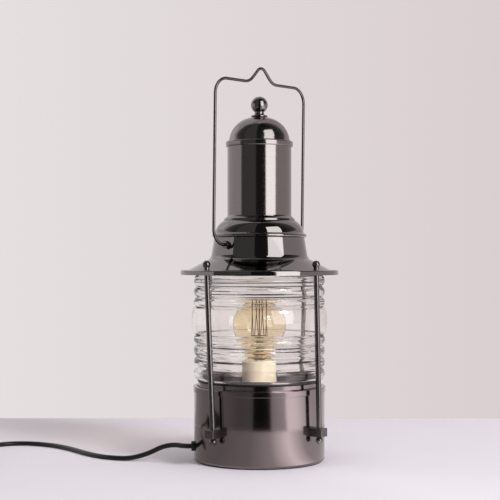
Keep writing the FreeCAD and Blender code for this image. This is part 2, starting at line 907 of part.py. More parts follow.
def make_holder_shell():
    outer = bulb_cap_radius + loose_gap + holder_shell_wall
    height = holder_height - holder_floor - 2
    return disc(outer, holder_floor_top, height, outer - holder_shell_wall)


def make_holder_contact():
    return block(18.0, 7.0, holder_contact_height, 0, holder_floor_top, 30)


def make_holder_nipple():
    low = deck_top - deck_wall - nipple_below_deck
    return disc(nipple_radius, low, holder_floor_top - 1.6 - low, nipple_bore)


def make_nipple_nuts():
    below = hexagon(2 * nipple_nut_radius, nipple_nut_height,
                    axis_up * (deck_top - deck_wall - nipple_nut_height), axis_up)
    below = below.cut(disc(nipple_radius, 0, base_height))
    return group([below, disc(holder_washer_radius, deck_top, holder_washer_height, nipple_radius + slip_gap)])


def bulb_steps():
    """The outer outline of the glass, from its neck over the globe to the top."""
    turn = math.radians(bulb_flank_angle)
    tangent = (bulb_globe_radius * math.cos(turn), bulb_globe_height - bulb_globe_radius * math.sin(turn))
    neck_corner = tangent[1] - (tangent[0] - bulb_neck_radius) / math.tan(turn)
    globe_middle = bulb_globe_radius * math.cos(math.radians(30))
    return [
        (bulb_cap_radius, bulb_cap_top),
        (bulb_neck_radius, bulb_cap_top + 3.0),
        (bulb_neck_radius, neck_corner - 2.5),
        (bulb_neck_radius + 0.45, neck_corner + 0.1, bulb_neck_radius + 2.0 * math.sin(turn),
         neck_corner + 2.0 * math.cos(turn)),
        tangent,
        (globe_middle, bulb_globe_height + bulb_globe_radius / 2, 0.0, bulb_globe_height + bulb_globe_radius),
    ]


def make_bulb_glass():
    return spun(bulb_steps(), bulb_glass_wall)


def make_bulb_cap():
    """The screw cap, with its thread as rounded rings."""
    root = bulb_cap_radius - bulb_thread_depth
    steps = [(bulb_tip_radius + 3.5, bulb_cap_low), (root, bulb_cap_low + 2.0)]
    height = bulb_cap_low + 2.0
    while height + bulb_thread_pitch < bulb_cap_top - 4.0:
        steps.append((bulb_cap_radius, height + bulb_thread_pitch / 2, root, height + bulb_thread_pitch))
        height += bulb_thread_pitch
    steps += [(bulb_cap_radius, bulb_cap_top - 3.0), (bulb_cap_radius, bulb_cap_top)]
    steps += [(root - 1.0, bulb_cap_top), (root - 1.0, bulb_cap_low + 3.0), (bulb_tip_radius + 3.0, bulb_cap_low + 1.0)]
    return turned(steps)


def make_bulb_insulator():
    low = bulb_tip_low + bulb_tip_height
    return turned([
        (0.0, low),
        (bulb_tip_radius + 0.6, low),
        (bulb_tip_radius + 3.5, bulb_cap_low),
        (bulb_tip_radius + 2.8, bulb_cap_low + 1.0),
        (0.0, bulb_cap_low + 1.0),
    ])


def make_bulb_tip():
    return Part.makeCylinder(bulb_tip_radius, bulb_tip_height, axis_up * bulb_tip_low)


def make_bulb_stem():
    """The glass stem inside the bulb, flared to the neck and with a button at its top."""
    low = bulb_cap_top - 2.0
    flare = bulb_cap_radius - bulb_thread_depth - 1.3
    return turned([
        (0.0, low),
        (flare, low),
        (flare - 3.5, low + 5.0, bulb_stem_radius, low + 14.0),
        (bulb_stem_radius, bulb_stem_top - 3.0),
        (bulb_stem_radius + 1.0, bulb_stem_top - 1.5, bulb_stem_radius - 0.5, bulb_stem_top),
        (0.0, bulb_stem_top),
    ])


def make_bulb_filament():
    """The cage of long filament strands between two spread crowns of support wire."""
    hub = Part.makeCylinder(filament_wire_radius * 1.6, filament_high - bulb_stem_top, axis_up * bulb_stem_top)
    solids = [hub]
    for number in range(filament_strands):
        low_angle = 360.0 * number / filament_strands
        low = around(filament_ring_radius, low_angle, filament_low)
        high = around(filament_ring_radius, low_angle + 180.0 / filament_strands, filament_high)
        solids.append(bar(axis_up * filament_low, low, filament_wire_radius))
        solids.append(bar(axis_up * (filament_high - 1), high, filament_wire_radius))
        solids.append(bar(low, high, filament_wire_radius))
        solids.append(Part.makeSphere(filament_wire_radius, low))
        solids.append(Part.makeSphere(filament_wire_radius, high))
    return solids[0].multiFuse(solids[1:])


def along_exit(distance):
    """A point on the line by which the cord leaves the drum."""
    return FreeCAD.Vector(-distance, 0, cord_exit_height)


def make_cord_gland():
    """The bush that the cord comes out of, with its flange outside the drum."""
    flange = bar(along_exit(drum_radius - 1), along_exit(cord_exit_distance), gland_flange_radius)
    flange = flange.cut(disc(drum_radius, 0, base_height))
    rim = [edge for edge in flange.Edges if edge.CenterOfMass.x < -cord_exit_distance + 0.01]
    flange = flange.makeFillet(gland_flange_height / 3, rim)
    thread = bar(along_exit(drum_radius + 1 - gland_thread_length), along_exit(drum_radius + 1), gland_thread_radius)
    return flange.fuse(thread).cut(bar(along_exit(drum_radius / 2), along_exit(drum_radius * 2), cord_radius))


def make_gland_nut():
    start = math.sqrt(drum_bore**2 - (gland_nut_flats / 2)**2) - slip_gap - gland_nut_height
    nut = hexagon(gland_nut_flats, gland_nut_height, along_exit(start), FreeCAD.Vector(-1, 0, 0))
    return nut.cut(bar(along_exit(start - 1), along_exit(drum_radius), gland_thread_radius))


def make_cord_tail():
    """The end of the cord inside the drum, through the gland and the anchor."""
    return bar(along_exit(cord_exit_distance), along_exit(anchor_distance - anchor_length / 2 - 3), cord_radius)


def make_cord_anchor():
    """The clamp block that takes the pull of the cord."""
    solid = block(anchor_length, anchor_width, anchor_top - ballast_top, -anchor_distance, ballast_top)
    return solid.cut(bar(along_exit(anchor_distance * 2), along_exit(anchor_distance / 2), cord_radius))


def make_terminal_block():
    """The two-way block that joins the cord's cores to the lamp's leads."""
    solid = block(terminal_length, terminal_width, terminal_height, -terminal_distance, ballast_top)
    for side in (-1, 1):
        place = FreeCAD.Vector(-terminal_distance, side * terminal_spacing / 2, ballast_top + terminal_height - 4)
        solid = solid.cut(Part.makeCylinder(2.0, 4, place))
    return solid


def make_inner_leads():
    """The cord's two cores and the two leads up to the lamp holder."""
    solids = []
    lead_height = ballast_top + terminal_height / 2
    tail_end = anchor_distance - anchor_length / 2 - 3
    block_near = terminal_distance + terminal_length / 2
    block_far = terminal_distance - terminal_length / 2
    nipple_low = deck_top - deck_wall - nipple_below_deck
    for side in (-1, 1):
        core = [
            FreeCAD.Vector(-tail_end, side * 1.3, cord_exit_height),
            FreeCAD.Vector(-tail_end + 2, side * 1.3, cord_exit_height),
            FreeCAD.Vector(-block_near - 2, side * terminal_spacing / 2, lead_height),
            FreeCAD.Vector(-block_near, side * terminal_spacing / 2, lead_height),
        ]
        solids.append(swept(route_wire(core, [1.2, 1.2]), lead_radius))
        lead = [
            FreeCAD.Vector(-block_far, side * terminal_spacing / 2, lead_height),
            FreeCAD.Vector(-1.5, side * terminal_spacing / 2, lead_height),
            FreeCAD.Vector(0, side * 1.5, nipple_low - 12),
            FreeCAD.Vector(0, side * 1.5, holder_floor_top - 2.0),
        ]
        solids.append(swept(route_wire(lead, [8.0, 12.0]), lead_radius))
    return group(solids)


def switch_centre():
    start = FreeCAD.Vector(*near_route[-1])
    end = FreeCAD.Vector(*far_route[0])
    return FreeCAD.Vector(start.x, (start.y + end.y) / 2, 0)


def switch_half(low, high):
    """One half of the switch's case, tapered towards both cords."""
    half = switch_length / 2
    shoulder = half - 14.0
    wide = switch_width / 2
    narrow = switch_end_width / 2
    outline_points = [
        (-narrow, -half), (narrow, -half), (wide, -shoulder), (wide, shoulder),
        (narrow, half), (-narrow, half), (-wide, shoulder), (-wide, -shoulder), (-narrow, -half),
    ]
    corners = [FreeCAD.Vector(x, y, 0) for x, y in outline_points]
    solid = Part.Face(Part.makePolygon(corners)).extrude(axis_up * switch_height)
    edges = [edge for edge in solid.Edges if abs(edge.tangentAt(edge.FirstParameter).z) > 0.9]
    solid = solid.makeFillet(4.0, edges)
    rims = [edge for edge in solid.Edges if edge.BoundBox.ZLength < 0.01]
    solid = solid.makeFillet(switch_round, rims)
    slab = Part.makeBox(switch_width * 2, switch_length * 2, high - low,
                        FreeCAD.Vector(-switch_width, -switch_length, low))
    solid = solid.common(slab)
    well = rocker_barrel(rocker_end_radius + loose_gap, rocker_width / 2 + loose_gap)
    well = well.common(Part.makeBox(switch_width * 2, switch_length * 2, switch_height * 2,
                                    FreeCAD.Vector(-switch_width, -switch_length, rocker_floor)))
    solid = solid.cut(well)
    return solid.cut(rocker_pin(rocker_pin_radius + slip_gap * 0.8, rocker_pin_reach + loose_gap))


def rocker_barrel(radius, half_width):
    start = FreeCAD.Vector(-half_width, 0, rocker_pivot_height)
    return bar(start, FreeCAD.Vector(half_width, 0, rocker_pivot_height), radius)


def rocker_pin(radius, reach):
    return rocker_barrel(radius, rocker_width / 2 + reach)


def make_switch_base():
    solid = switch_half(0, switch_height / 2)
    solid.translate(switch_centre())
    return solid


def make_switch_cover():
    solid = switch_half(switch_height / 2, switch_height)
    solid.translate(switch_centre())
    return solid


def make_switch_rocker():
    """The rocker, with one end pressed in."""
    reach = rocker_end_radius * 2
    rise = reach * math.tan(math.radians(rocker_slope))
    top = rocker_pivot_height + rocker_above
    low = rocker_pivot_height - rocker_below
    points = [(-reach, low), (reach, low), (reach, top + rise), (0, top), (-reach, top + rise), (-reach, low)]
    start = -rocker_width / 2
    corners = [FreeCAD.Vector(start, y, z) for y, z in points]
    body = Part.Face(Part.makePolygon(corners)).extrude(FreeCAD.Vector(rocker_width, 0, 0))
    solid = body.common(rocker_barrel(rocker_end_radius, rocker_width / 2))
    solid = solid.fuse(rocker_pin(rocker_pin_radius, rocker_pin_reach))
    solid.rotate(FreeCAD.Vector(0, 0, rocker_pivot_height), FreeCAD.Vector(1, 0, 0), rocker_slope)
    solid.translate(switch_centre())
    return solid


def coil_wire():
    """The coil's line: a spiral in, a climb in one half turn, and a spiral out above it."""
    lead = 2 * cord_radius
    start = FreeCAD.Vector(*far_route[-1])
    place = start - FreeCAD.Vector(0, lead, 0)
    edges = [Part.LineSegment(start, place).toShape()]
    down = -1
    side = -1
    radii = [coil_outer_radius - coil_pitch / 2 * number for number in range(coil_half_turns)]
    climb = coil_outer_radius - coil_pitch / 2 * coil_half_turns

    def half_turn(place, radius, side, down):
        middle = place + FreeCAD.Vector(side * radius, down * radius, 0)
        end = place + FreeCAD.Vector(side * 2 * radius, 0, 0)
        edges.append(Part.Arc(place, middle, end).toShape())
        return end

    for radius in radii:
        place = half_turn(place, radius, side, down)
        side = -side
        down = -down
    end = place + FreeCAD.Vector(side * 2 * climb, 0, coil_layer_rise)
    reach = place.distanceToPoint(end) / 2
    chord = (end - place).normalize()
    crest = (place + end) / 2 + FreeCAD.Vector(0, down, 0) * reach
    for centre, from_point, to_point in ((place + chord * reach, place, crest), (end - chord * reach, crest, end)):
        way = ((from_point - centre) + (to_point - centre)).normalize()
        edges.append(Part.Arc(from_point, centre + way * reach, to_point).toShape())
    place = end
    side = -side
    down = -down
    for radius in reversed(radii):
        place = half_turn(place, radius, side, down)
        side = -side
        down = -down
    finish = place + FreeCAD.Vector(0, down * plug_lead, 0)
    edges.append(Part.LineSegment(place, finish).toShape())
    return Part.Wire(edges), finish, down


def least_self_gap(wire, step):
    """The least gap of the coil's tube to itself, between points more than a quarter turn apart."""
    points = wire.discretize(Distance=step)
    skip = int(6 * cord_radius * math.pi / step)
    least = 1000.0
    for number, point in enumerate(points):
        for other in points[number + skip:]:
            least = min(least, point.distanceToPoint(other))
    return least - 2 * cord_radius


def make_cord_coil():
    wire = coil_wire()[0]
    tube = swept(wire, cord_radius)
    share = tube.Volume / (math.pi * cord_radius**2 * wire.Length)
    print("cord_coil length", round(wire.Length, 1), "volume over section times length", round(share, 4))
    print("cord_coil least gap to itself", round(least_self_gap(wire, 2.5), 2))
    return tube


def make_plug_body():
    """A two-pin plug, lying beside the coil."""
    finish, heading = coil_wire()[1:]
    neck = plug_neck_length
    wide = plug_width / 2
    slim = wide * 0.55
    height = 2 * coil_top_height
    plan = [
        (-slim, neck), (slim, neck), (wide, neck + 11), (wide, plug_length), (-wide, plug_length), (-wide, neck + 11),
        (-slim, neck),
    ]
    corners = [FreeCAD.Vector(x, y, 0) for x, y in plan]
    solid = Part.Face(Part.makePolygon(corners)).extrude(axis_up * height)
    solid = solid.makeFillet(plug_round, solid.Edges)
    entry = FreeCAD.Vector(0, 0, coil_top_height)
    solid = solid.fuse(bar(entry, entry + FreeCAD.Vector(0, neck + 2, 0), plug_neck_radius))
    for pin in plug_pin_bars(plug_length - 4):
        solid = solid.cut(pin)
    return at_plug(solid, finish, heading)


def plug_pin_bars(start):
    pins = []
    for side in (-1, 1):
        low = FreeCAD.Vector(side * plug_pin_spacing / 2, start, coil_top_height)
        high = FreeCAD.Vector(side * plug_pin_spacing / 2, plug_length + plug_pin_length, coil_top_height)
        pins.append(bar(low, high, plug_pin_radius))
    return pins


def at_plug(solid, finish, heading):
    if heading < 0:
        solid.rotate(base_point, axis_up, 180)
    solid.translate(FreeCAD.Vector(finish.x, finish.y, 0))
    return solid


def make_plug_pins():
    finish, heading = coil_wire()[1:]
    return group([at_plug(pin, finish, heading) for pin in plug_pin_bars(plug_length - 4)])


def build():
    """Every piece by its node's name."""
    pieces = {
        "base_drum": make_base_drum(),
        "ballast_plate": make_ballast_plate(),
        "plate_screws": make_plate_screws(),
        "foot_pad": make_foot_pad(),
        "deck_cap": make_deck_cap(),
        "gallery_ring": make_gallery_ring(),
        "gallery_screws": make_gallery_screws(),
        "lens_gasket_lower": make_lens_gasket_lower(),
        "fresnel_lens": make_fresnel_lens(),
        "lens_gasket_upper": make_lens_gasket_upper(),
        "lens_seat_ring": make_lens_seat_ring(),
        "bracket_screws": make_bracket_screws(),
        "rod_bottom_nuts": group([make_rod_bottom_nut(angle) for angle in rod_angles]),
        "rod_top_nuts": group([make_rod_top_nut(angle) for angle in rod_angles]),
        "lid_bell": make_lid_bell(),
        "lid_shoulder": make_lid_shoulder(),
        "chimney_tube": make_chimney_tube(),
        "dome_cap": make_dome_cap(),
        "finial": make_finial(),
        "lid_stud": make_lid_stud(),
        "lid_bridge": make_lid_bridge(),
        "lid_stud_nut": make_lid_stud_nut(),
        "bail_ear_front": make_bail_ear(1),
        "bail_ear_rear": make_bail_ear(-1),
        "bail_handle": make_bail_handle(),
        "bail_washers": make_bail_washers(),
        "holder_body": make_holder_body(),
        "holder_shell": make_holder_shell(),
        "holder_contact": make_holder_contact(),
        "holder_nipple": make_holder_nipple(),
        "nipple_nuts": make_nipple_nuts(),
        "bulb_glass": make_bulb_glass(),
        "bulb_cap": make_bulb_cap(),
        "bulb_insulator": make_bulb_insulator(),
        "bulb_tip": make_bulb_tip(),
        "bulb_stem": make_bulb_stem(),
        "bulb_filament": make_bulb_filament(),
        "cord_gland": make_cord_gland(),
        "gland_nut": make_gland_nut(),
        "cord_tail": make_cord_tail(),
        "cord_anchor": make_cord_anchor(),
        "terminal_block": make_terminal_block(),
        "inner_leads": make_inner_leads(),
        "cord_run_near": cord_tube("cord_run_near", near_route),
        "cord_run_far": cord_tube("cord_run_far", far_route),
        "cord_coil": make_cord_coil(),
        "switch_base": make_switch_base(),
        "switch_cover": make_switch_cover(),
        "switch_rocker": make_switch_rocker(),
        "plug_body": make_plug_body(),
        "plug_pins": make_plug_pins(),
    }
    for number, angle in enumerate(rod_angles, 1):
        pieces[f"rod_bracket_{number}"] = make_rod_bracket(angle)
        pieces[f"tie_rod_{number}"] = make_tie_rod(angle)
    return pieces


os.makedirs("parts", exist_ok=True)
for name, shape in build().items():
    shape.exportStep(f"parts/{name}.step")
    if not shape.isValid() or shape.Volume <= 0:
        print("not a valid solid:", name)
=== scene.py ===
import math

import bmesh
import bpy
from mathutils import Matrix, Vector


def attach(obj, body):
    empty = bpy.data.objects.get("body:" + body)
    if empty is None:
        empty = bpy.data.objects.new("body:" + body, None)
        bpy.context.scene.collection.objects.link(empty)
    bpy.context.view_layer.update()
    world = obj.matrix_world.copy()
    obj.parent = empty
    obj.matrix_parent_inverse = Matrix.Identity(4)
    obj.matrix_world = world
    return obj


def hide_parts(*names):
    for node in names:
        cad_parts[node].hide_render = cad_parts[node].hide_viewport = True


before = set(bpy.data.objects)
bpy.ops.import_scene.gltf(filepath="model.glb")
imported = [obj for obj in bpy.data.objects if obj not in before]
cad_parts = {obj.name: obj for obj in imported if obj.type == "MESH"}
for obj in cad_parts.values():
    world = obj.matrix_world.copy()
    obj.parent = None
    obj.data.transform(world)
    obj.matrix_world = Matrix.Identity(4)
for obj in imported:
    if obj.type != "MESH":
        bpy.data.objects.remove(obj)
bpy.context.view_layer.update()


# The camera, level with the lamp's lens and a little to its left, turned back towards it.
camera_turn = math.radians(-6.984)
camera_data = bpy.data.cameras.new("camera")
camera_data.lens = 92.16
camera_data.sensor_width = 36
camera = bpy.data.objects.new("camera", camera_data)
camera.location = (-0.1900, -1.4627, 0.2344)
camera.rotation_euler = (math.radians(90.269), 0, camera_turn)
bpy.context.scene.collection.objects.link(camera)
bpy.context.scene.camera = camera
bpy.context.scene.view_settings.view_transform = "Standard"


# The room: a pale table top with its far edge behind the lamp, in front of a warm grey wall.
# The wall is the world's colour, a little darker to the right. It is seen and mirrored at full strength,
# and lights the object at less.
mm = 0.001


def linear(hex_colour):
    """The linear values of a colour that is written as sRGB hex."""
    channels = [int(hex_colour[place:place + 2], 16) / 255 for place in (1, 3, 5)]
    return [c / 12.92 if c <= 0.04045 else ((c + 0.055) / 1.055) ** 2.4 for c in channels] + [1.0]


def add_node(tree, kind, settings=None, links=None):
    """Adds a node. Settings and links go by a socket's name or number, and other settings by property."""
    node = tree.nodes.new(kind)
    for key, value in (settings or {}).items():
        if isinstance(key, int) or key in node.inputs:
            node.inputs[key].default_value = value
        else:
            setattr(node, key, value)
    for key, (source, output) in (links or {}).items():
        tree.links.new(source.outputs[output], node.inputs[key])
    return node


def new_material(name):
    """An empty material and its node tree."""
    material = bpy.data.materials.new(name)
    material.use_nodes = True
    material.node_tree.nodes.clear()
    return material, material.node_tree


def finish_piece(name, shape, material):
    """Makes an object of a shape in millimetres, smooth but for its sharp edges and open rims."""
    bmesh.ops.scale(shape, vec=(mm, mm, mm), verts=shape.verts)
    for face in shape.faces:
        face.smooth = True
    for edge in shape.edges:
        edge.smooth = not edge.is_boundary and edge.calc_face_angle(0.0) < math.radians(16)
    mesh = bpy.data.meshes.new(name)
    shape.to_mesh(mesh)
    shape.free()
    mesh.materials.append(material)
    piece = bpy.data.objects.new(name, mesh)
    bpy.context.scene.collection.objects.link(piece)
    return piece


world = bpy.data.worlds.new("pale_room")
world.use_nodes = True
tree = world.node_tree
tree.nodes.clear()
direction = add_node(tree, "ShaderNodeTexCoord")
sideways = add_node(tree, "ShaderNodeSeparateXYZ", {}, {"Vector": (direction, "Generated")})
across = add_node(tree, "ShaderNodeMapRange", {"From Min": -0.12, "From Max": 0.36},
                  {"Value": (sideways, "X")})
wall = add_node(tree, "ShaderNodeMix", {"data_type": "RGBA", 6: linear("#e7e1e1"), 7: linear("#d8cdce")},
                {0: (across, "Result")})
path = add_node(tree, "ShaderNodeLightPath")
seen_or_mirrored = add_node(tree, "ShaderNodeMath", {"operation": "MAXIMUM"},
                            {0: (path, "Is Camera Ray"), 1: (path, "Is Glossy Ray")})
seen = add_node(tree, "ShaderNodeMath", {"operation": "MAXIMUM"},
                {0: (seen_or_mirrored, "Value"), 1: (path, "Is Transmission Ray")})
strength = add_node(tree, "ShaderNodeMapRange", {"To Min": 0.62, "To Max": 1.0}, {"Value": (seen, "Value")})
room = add_node(tree, "ShaderNodeBackground", {}, {"Color": (wall, 2), "Strength": (strength, "Result")})
add_node(tree, "ShaderNodeOutputWorld", {}, {"Surface": (room, "Background")})
bpy.context.scene.world = world

# The laminate is matt, with a faint lavender cast and a cloudiness about 110 mm across.
laminate, tree = new_material("matt_lavender_laminate")
place = add_node(tree, "ShaderNodeTexCoord")
mottle = add_node(tree, "ShaderNodeTexNoise", {"Scale": 9.0, "Detail": 2.0}, {"Vector": (place, "Object")})
tone = add_node(tree, "ShaderNodeMix", {"data_type": "RGBA", 6: linear("#ebe7ee"), 7: linear("#f0ecf3")},
                {0: (mottle, "Fac")})
surface = add_node(tree, "ShaderNodeBsdfPrincipled", {"Roughness": 0.7, "Specular IOR Level": 0.03},
                   {"Base Color": (tone, 2)})
add_node(tree, "ShaderNodeOutputMaterial", {}, {"Surface": (surface, "BSDF")})

table_width, table_depth, table_thickness = 5000.0, 2100.0, 30.0
table_far_edge = 378.0
shape = bmesh.new()
bmesh.ops.create_cube(shape, size=1.0)
bmesh.ops.scale(shape, vec=(table_width, table_depth, table_thickness), verts=shape.verts)
bmesh.ops.translate(shape, vec=(0, table_far_edge - table_depth / 2, -table_thickness / 2), verts=shape.verts)
bmesh.ops.bevel(shape, geom=shape.edges[:], offset=2.0, segments=3, profile=0.5, affect="EDGES",
                material=-1)
bmesh.ops.rotate(shape, cent=(0, 0, 0), matrix=Matrix.Rotation(camera_turn, 3, "Z"), verts=shape.verts)
table = finish_piece("table_top", shape, laminate)


# The studio: a tall soft box that polished metal shows, a far key lamp that lights the object and throws
# its shadow over the table to the left and the back, and a weak one overhead. Radiance 1 shows as white.
def soft_box(name, azimuth, elevation, distance, width, height, radiance):
    """A rectangular lamp that faces the lens, at an azimuth counted from the front towards +X."""
    lamp = bpy.data.lights.new(name, "AREA")
    lamp.shape = "RECTANGLE"
    lamp.size = width
    lamp.size_y = height
    lamp.energy = radiance * math.pi * width * height
    holder = bpy.data.objects.new(name, lamp)
    turn, rise = math.radians(azimuth), math.radians(elevation)
    away = Vector((math.sin(turn) * math.cos(rise), -math.cos(turn) * math.cos(rise), math.sin(rise)))
    lens_middle = Vector((0, 0, 0.2))
    holder.location = lens_middle + away * distance
    holder.rotation_euler = away.to_track_quat("Z", "Y").to_euler()
    holder.visible_camera = False
    bpy.context.scene.collection.objects.link(holder)
    return holder


mirrored_box = soft_box("mirrored_box", 34.0, 22.0, 1.7, 1.15, 2.1, 3.1)
mirrored_box.visible_diffuse = False
key_box = soft_box("key_box", 38.0, 28.0, 5.0, 1.3, 1.3, 40.0)
key_box.visible_glossy = False
top_box = soft_box("top_box", 0.0, 84.0, 1.9, 1.4, 1.4, 0.9)
top_box.visible_glossy = False


# What polished metal mirrors of the room: a dark screen behind the camera, a dim one left of it, a dark
# ceiling, a pale window behind on the left, and two glowing rings on the table that are a painted reflection
# of the lit table. The inner ring's painted light goes round from dim to bright under the soft box. The outer
# ring begins where the table's front edge would be, with painted shade in front for the dark room beyond and
# a painted glow under the soft box. Mirrored rays alone see them, and they light nothing.
def mirrored_screen(name, outline, first, last, levels):
    """A surface turned about the lamp's axis between two azimuths, with its light level by azimuth."""
    shape = bmesh.new()
    corners = [shape.verts.new((0, -radius, height)) for radius, height in outline]
    for start, end in zip(corners, corners[1:]):
        shape.edges.new((start, end))
    turn = Matrix.Rotation(math.radians(first), 3, "Z")
    bmesh.ops.rotate(shape, cent=(0, 0, 0), matrix=turn, verts=shape.verts)
    bmesh.ops.spin(shape, geom=shape.verts[:] + shape.edges[:], cent=(0, 0, 0), axis=(0, 0, 1),
                   angle=math.radians(last - first), steps=48)
    material, tree = new_material(name)
    place = add_node(tree, "ShaderNodeTexCoord")
    facing = add_node(tree, "ShaderNodeMapping", {"Rotation": (0, 0, math.pi / 2)},
                      {"Vector": (place, "Object")})
    azimuth = add_node(tree, "ShaderNodeTexGradient", {"gradient_type": "RADIAL"},
                       {"Vector": (facing, "Vector")})
    ramp = add_node(tree, "ShaderNodeValToRGB", {}, {"Fac": (azimuth, "Fac")})
    stops = ramp.color_ramp.elements
    while len(stops) < len(levels):
        stops.new(0.5)
    for stop, (angle, level) in zip(stops, levels):
        stop.position = angle / 360 + 0.5
        stop.color = (level, level * 0.94, level * 0.95, 1.0)
    glow = add_node(tree, "ShaderNodeEmission", {"Strength": 2.2}, {"Color": (ramp, "Color")})
    add_node(tree, "ShaderNodeOutputMaterial", {}, {"Surface": (glow, "Emission")})
    screen = finish_piece(name, shape, material)
    screen.visible_camera = False
    screen.visible_diffuse = False
    screen.visible_transmission = False
    screen.visible_shadow = False


mirrored_screen("dark_screen", [(1300, 2), (1300, 900), (900, 1500), (200, 1700)], -19, 14, [
    (-19, 0.012), (14, 0.012)])
mirrored_screen("dim_screen", [(1310, 2), (1310, 900), (900, 1520), (200, 1720)], -74, -19, [
    (-74, 0.065), (-19, 0.065)])
mirrored_screen("dark_ceiling", [(2600, 1100), (1900, 1800), (900, 2250), (100, 2400)], -110, 110, [
    (-110, 0.10), (-90, 0.05), (-60, 0.012), (60, 0.012), (90, 0.05), (110, 0.10)])
mirrored_screen("back_window", [(1500, 760), (1500, 1500)], -156, -112, [
    (-156, 0.30), (-140, 0.5), (-125, 0.5), (-112, 0.2)])
# The inner ring: painted light of the table, dim round to a painted bright patch under the soft box.
mirrored_screen("painted_table_reflection", [(84, 1), (325, 1)], -150, 150, [
    (-150, 0.18), (-60, 0.15), (-20, 0.2), (8, 0.36), (36, 1.0), (64, 0.4), (150, 0.3)])
# The outer ring: painted shade in front, where the room is dark, and a painted glow under the soft box.
mirrored_screen("painted_outer_floor_reflection", [(325, 1.5), (1320, 1.5)], -150, 150, [
    (-150, 0.2), (-95, 0.16), (-60, 0.11), (-40, 0.08), (-18, 0.09), (-17, 0.004), (10, 0.004),
    (12, 0.28), (35, 0.42), (38, 1.0), (55, 0.95), (75, 0.55), (100, 0.4), (150, 0.4)])


# The base drum: steel sheet spun to a cup, 150 mm across, plated with black nickel and brushed round
# to a satin finish. The deck drops into it and covers its edge with a rolled rim.
def arc_through(start, middle, end):
    """The centre of the arc through three points of the XZ plane, and its turn about +Y."""
    a, b = middle - start, end - start
    cross = 2 * (a.x * b.z - a.z * b.x)
    centre = start + Vector(((b.z * a.length_squared - a.z * b.length_squared) / cross, 0,
                             (a.x * b.length_squared - b.x * a.length_squared) / cross))
    angles = [math.atan2(point.x - centre.x, point.z - centre.z) for point in (start, middle, end)]
    half = (angles[1] - angles[0] + math.pi) % (2 * math.pi) - math.pi
    rest = (angles[2] - angles[1] + math.pi) % (2 * math.pi) - math.pi
    return centre, half + rest


def turned_piece(name, outline, material, wall=0.0, steps=224):
    """Turns an outline, given as radius and height, about the lamp's axis.

    Two numbers are a corner, and four are an arc's middle and end. With a wall the outline is the outside.
    """
    shape = bmesh.new()
    last = shape.verts.new((outline[0][0], 0, outline[0][1]))
    for step in outline[1:]:
        end = Vector((step[-2], 0, step[-1]))
        if len(step) == 4:
            centre, turn = arc_through(last.co, Vector((step[0], 0, step[1])), end)
            parts = max(3, math.ceil(abs(turn) / math.radians(6)))
            arc = bmesh.ops.spin(shape, geom=[last], cent=centre, axis=(0, 1, 0), angle=turn, steps=parts)
            last = arc["geom_last"][0]
        else:
            last = bmesh.ops.extrude_vert_indiv(shape, verts=[last])["verts"][0]
            last.co = end
    bmesh.ops.spin(shape, geom=shape.verts[:] + shape.edges[:], cent=(0, 0, 0), axis=(0, 0, 1),
                   angle=2 * math.pi, steps=steps, use_merge=True)
    bmesh.ops.remove_doubles(shape, verts=shape.verts, dist=0.0005)
    bmesh.ops.recalc_face_normals(shape, faces=shape.faces)
    piece = finish_piece(name, shape, material)
    if wall:
        thicken = piece.modifiers.new("wall", "SOLIDIFY")
        thicken.thickness = wall * mm
        thicken.offset = -1
    return piece


# Brushing leaves lines round the drum, about 0.5 mm apart. They draw each reflection out up and down, so
# the eye sees soft upright bands. A faint cloud, 55 mm across, is where the plating is uneven.
satin_nickel, tree = new_material("satin_black_nickel_on_spun_steel")
place = add_node(tree, "ShaderNodeTexCoord")
brushing = add_node(tree, "ShaderNodeMapping", {"Scale": (14, 14, 2200)}, {"Vector": (place, "Object")})
lines = add_node(tree, "ShaderNodeTexNoise", {"Scale": 1.0, "Detail": 3.0}, {"Vector": (brushing, "Vector")})
cloud = add_node(tree, "ShaderNodeTexNoise", {"Scale": 18.0, "Detail": 3.0}, {"Vector": (place, "Object")})
dullness = add_node(tree, "ShaderNodeMapRange", {"To Min": 0.09, "To Max": 0.12}, {"Value": (cloud, "Fac")})
relief = add_node(tree, "ShaderNodeBump", {"Strength": 0.03, "Distance": 0.0001},
                  {"Height": (lines, "Fac")})
around = add_node(tree, "ShaderNodeTangent", {"direction_type": "RADIAL", "axis": "Z"})
plate = add_node(tree, "ShaderNodeMix", {"data_type": "RGBA", 6: linear("#847a7b"), 7: linear("#8c8182")},
                 {0: (cloud, "Fac")})
surface = add_node(tree, "ShaderNodeBsdfPrincipled", {"Metallic": 1.0, "Anisotropic": 0.85},
                   {"Base Color": (plate, 2), "Roughness": (dullness, "Result"),
                    "Normal": (relief, "Normal"), "Tangent": (around, "Tangent")})
add_node(tree, "ShaderNodeOutputMaterial", {}, {"Surface": (surface, "BSDF")})

sheet_wall = 1.2
drum_radius, drum_foot, drum_top, bottom_lip = 75.0, 1.0, 84.5, 12.0
foot_round = 2.5
foot_slant = foot_round * (1 - math.sqrt(0.5))
drum = turned_piece("drum_shell", [
    (drum_radius - bottom_lip, drum_foot), (drum_radius - foot_round, drum_foot),
    (drum_radius - foot_slant, drum_foot + foot_slant, drum_radius, drum_foot + foot_round),
    (drum_radius, drum_top),
], satin_nickel, sheet_wall)
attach(drum, "lamp")
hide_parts("base_drum")

deck = turned_piece("deck_cap_shell", [
    (75.1, 78.9), (75.3, 78.9), (75.724, 79.076, 75.9, 79.5), (75.9, 85.0),
    (75.666, 85.566, 75.1, 85.8), (72.1, 85.8), (71.676, 85.624, 71.5, 85.2), (71.5, 83.2),
    (5.1, 83.2), (5.1, 81.7), (72.7, 81.7), (72.7, 84.6), (75.1, 84.6), (75.1, 78.9),
], satin_nickel)
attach(deck, "lamp")
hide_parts("deck_cap")


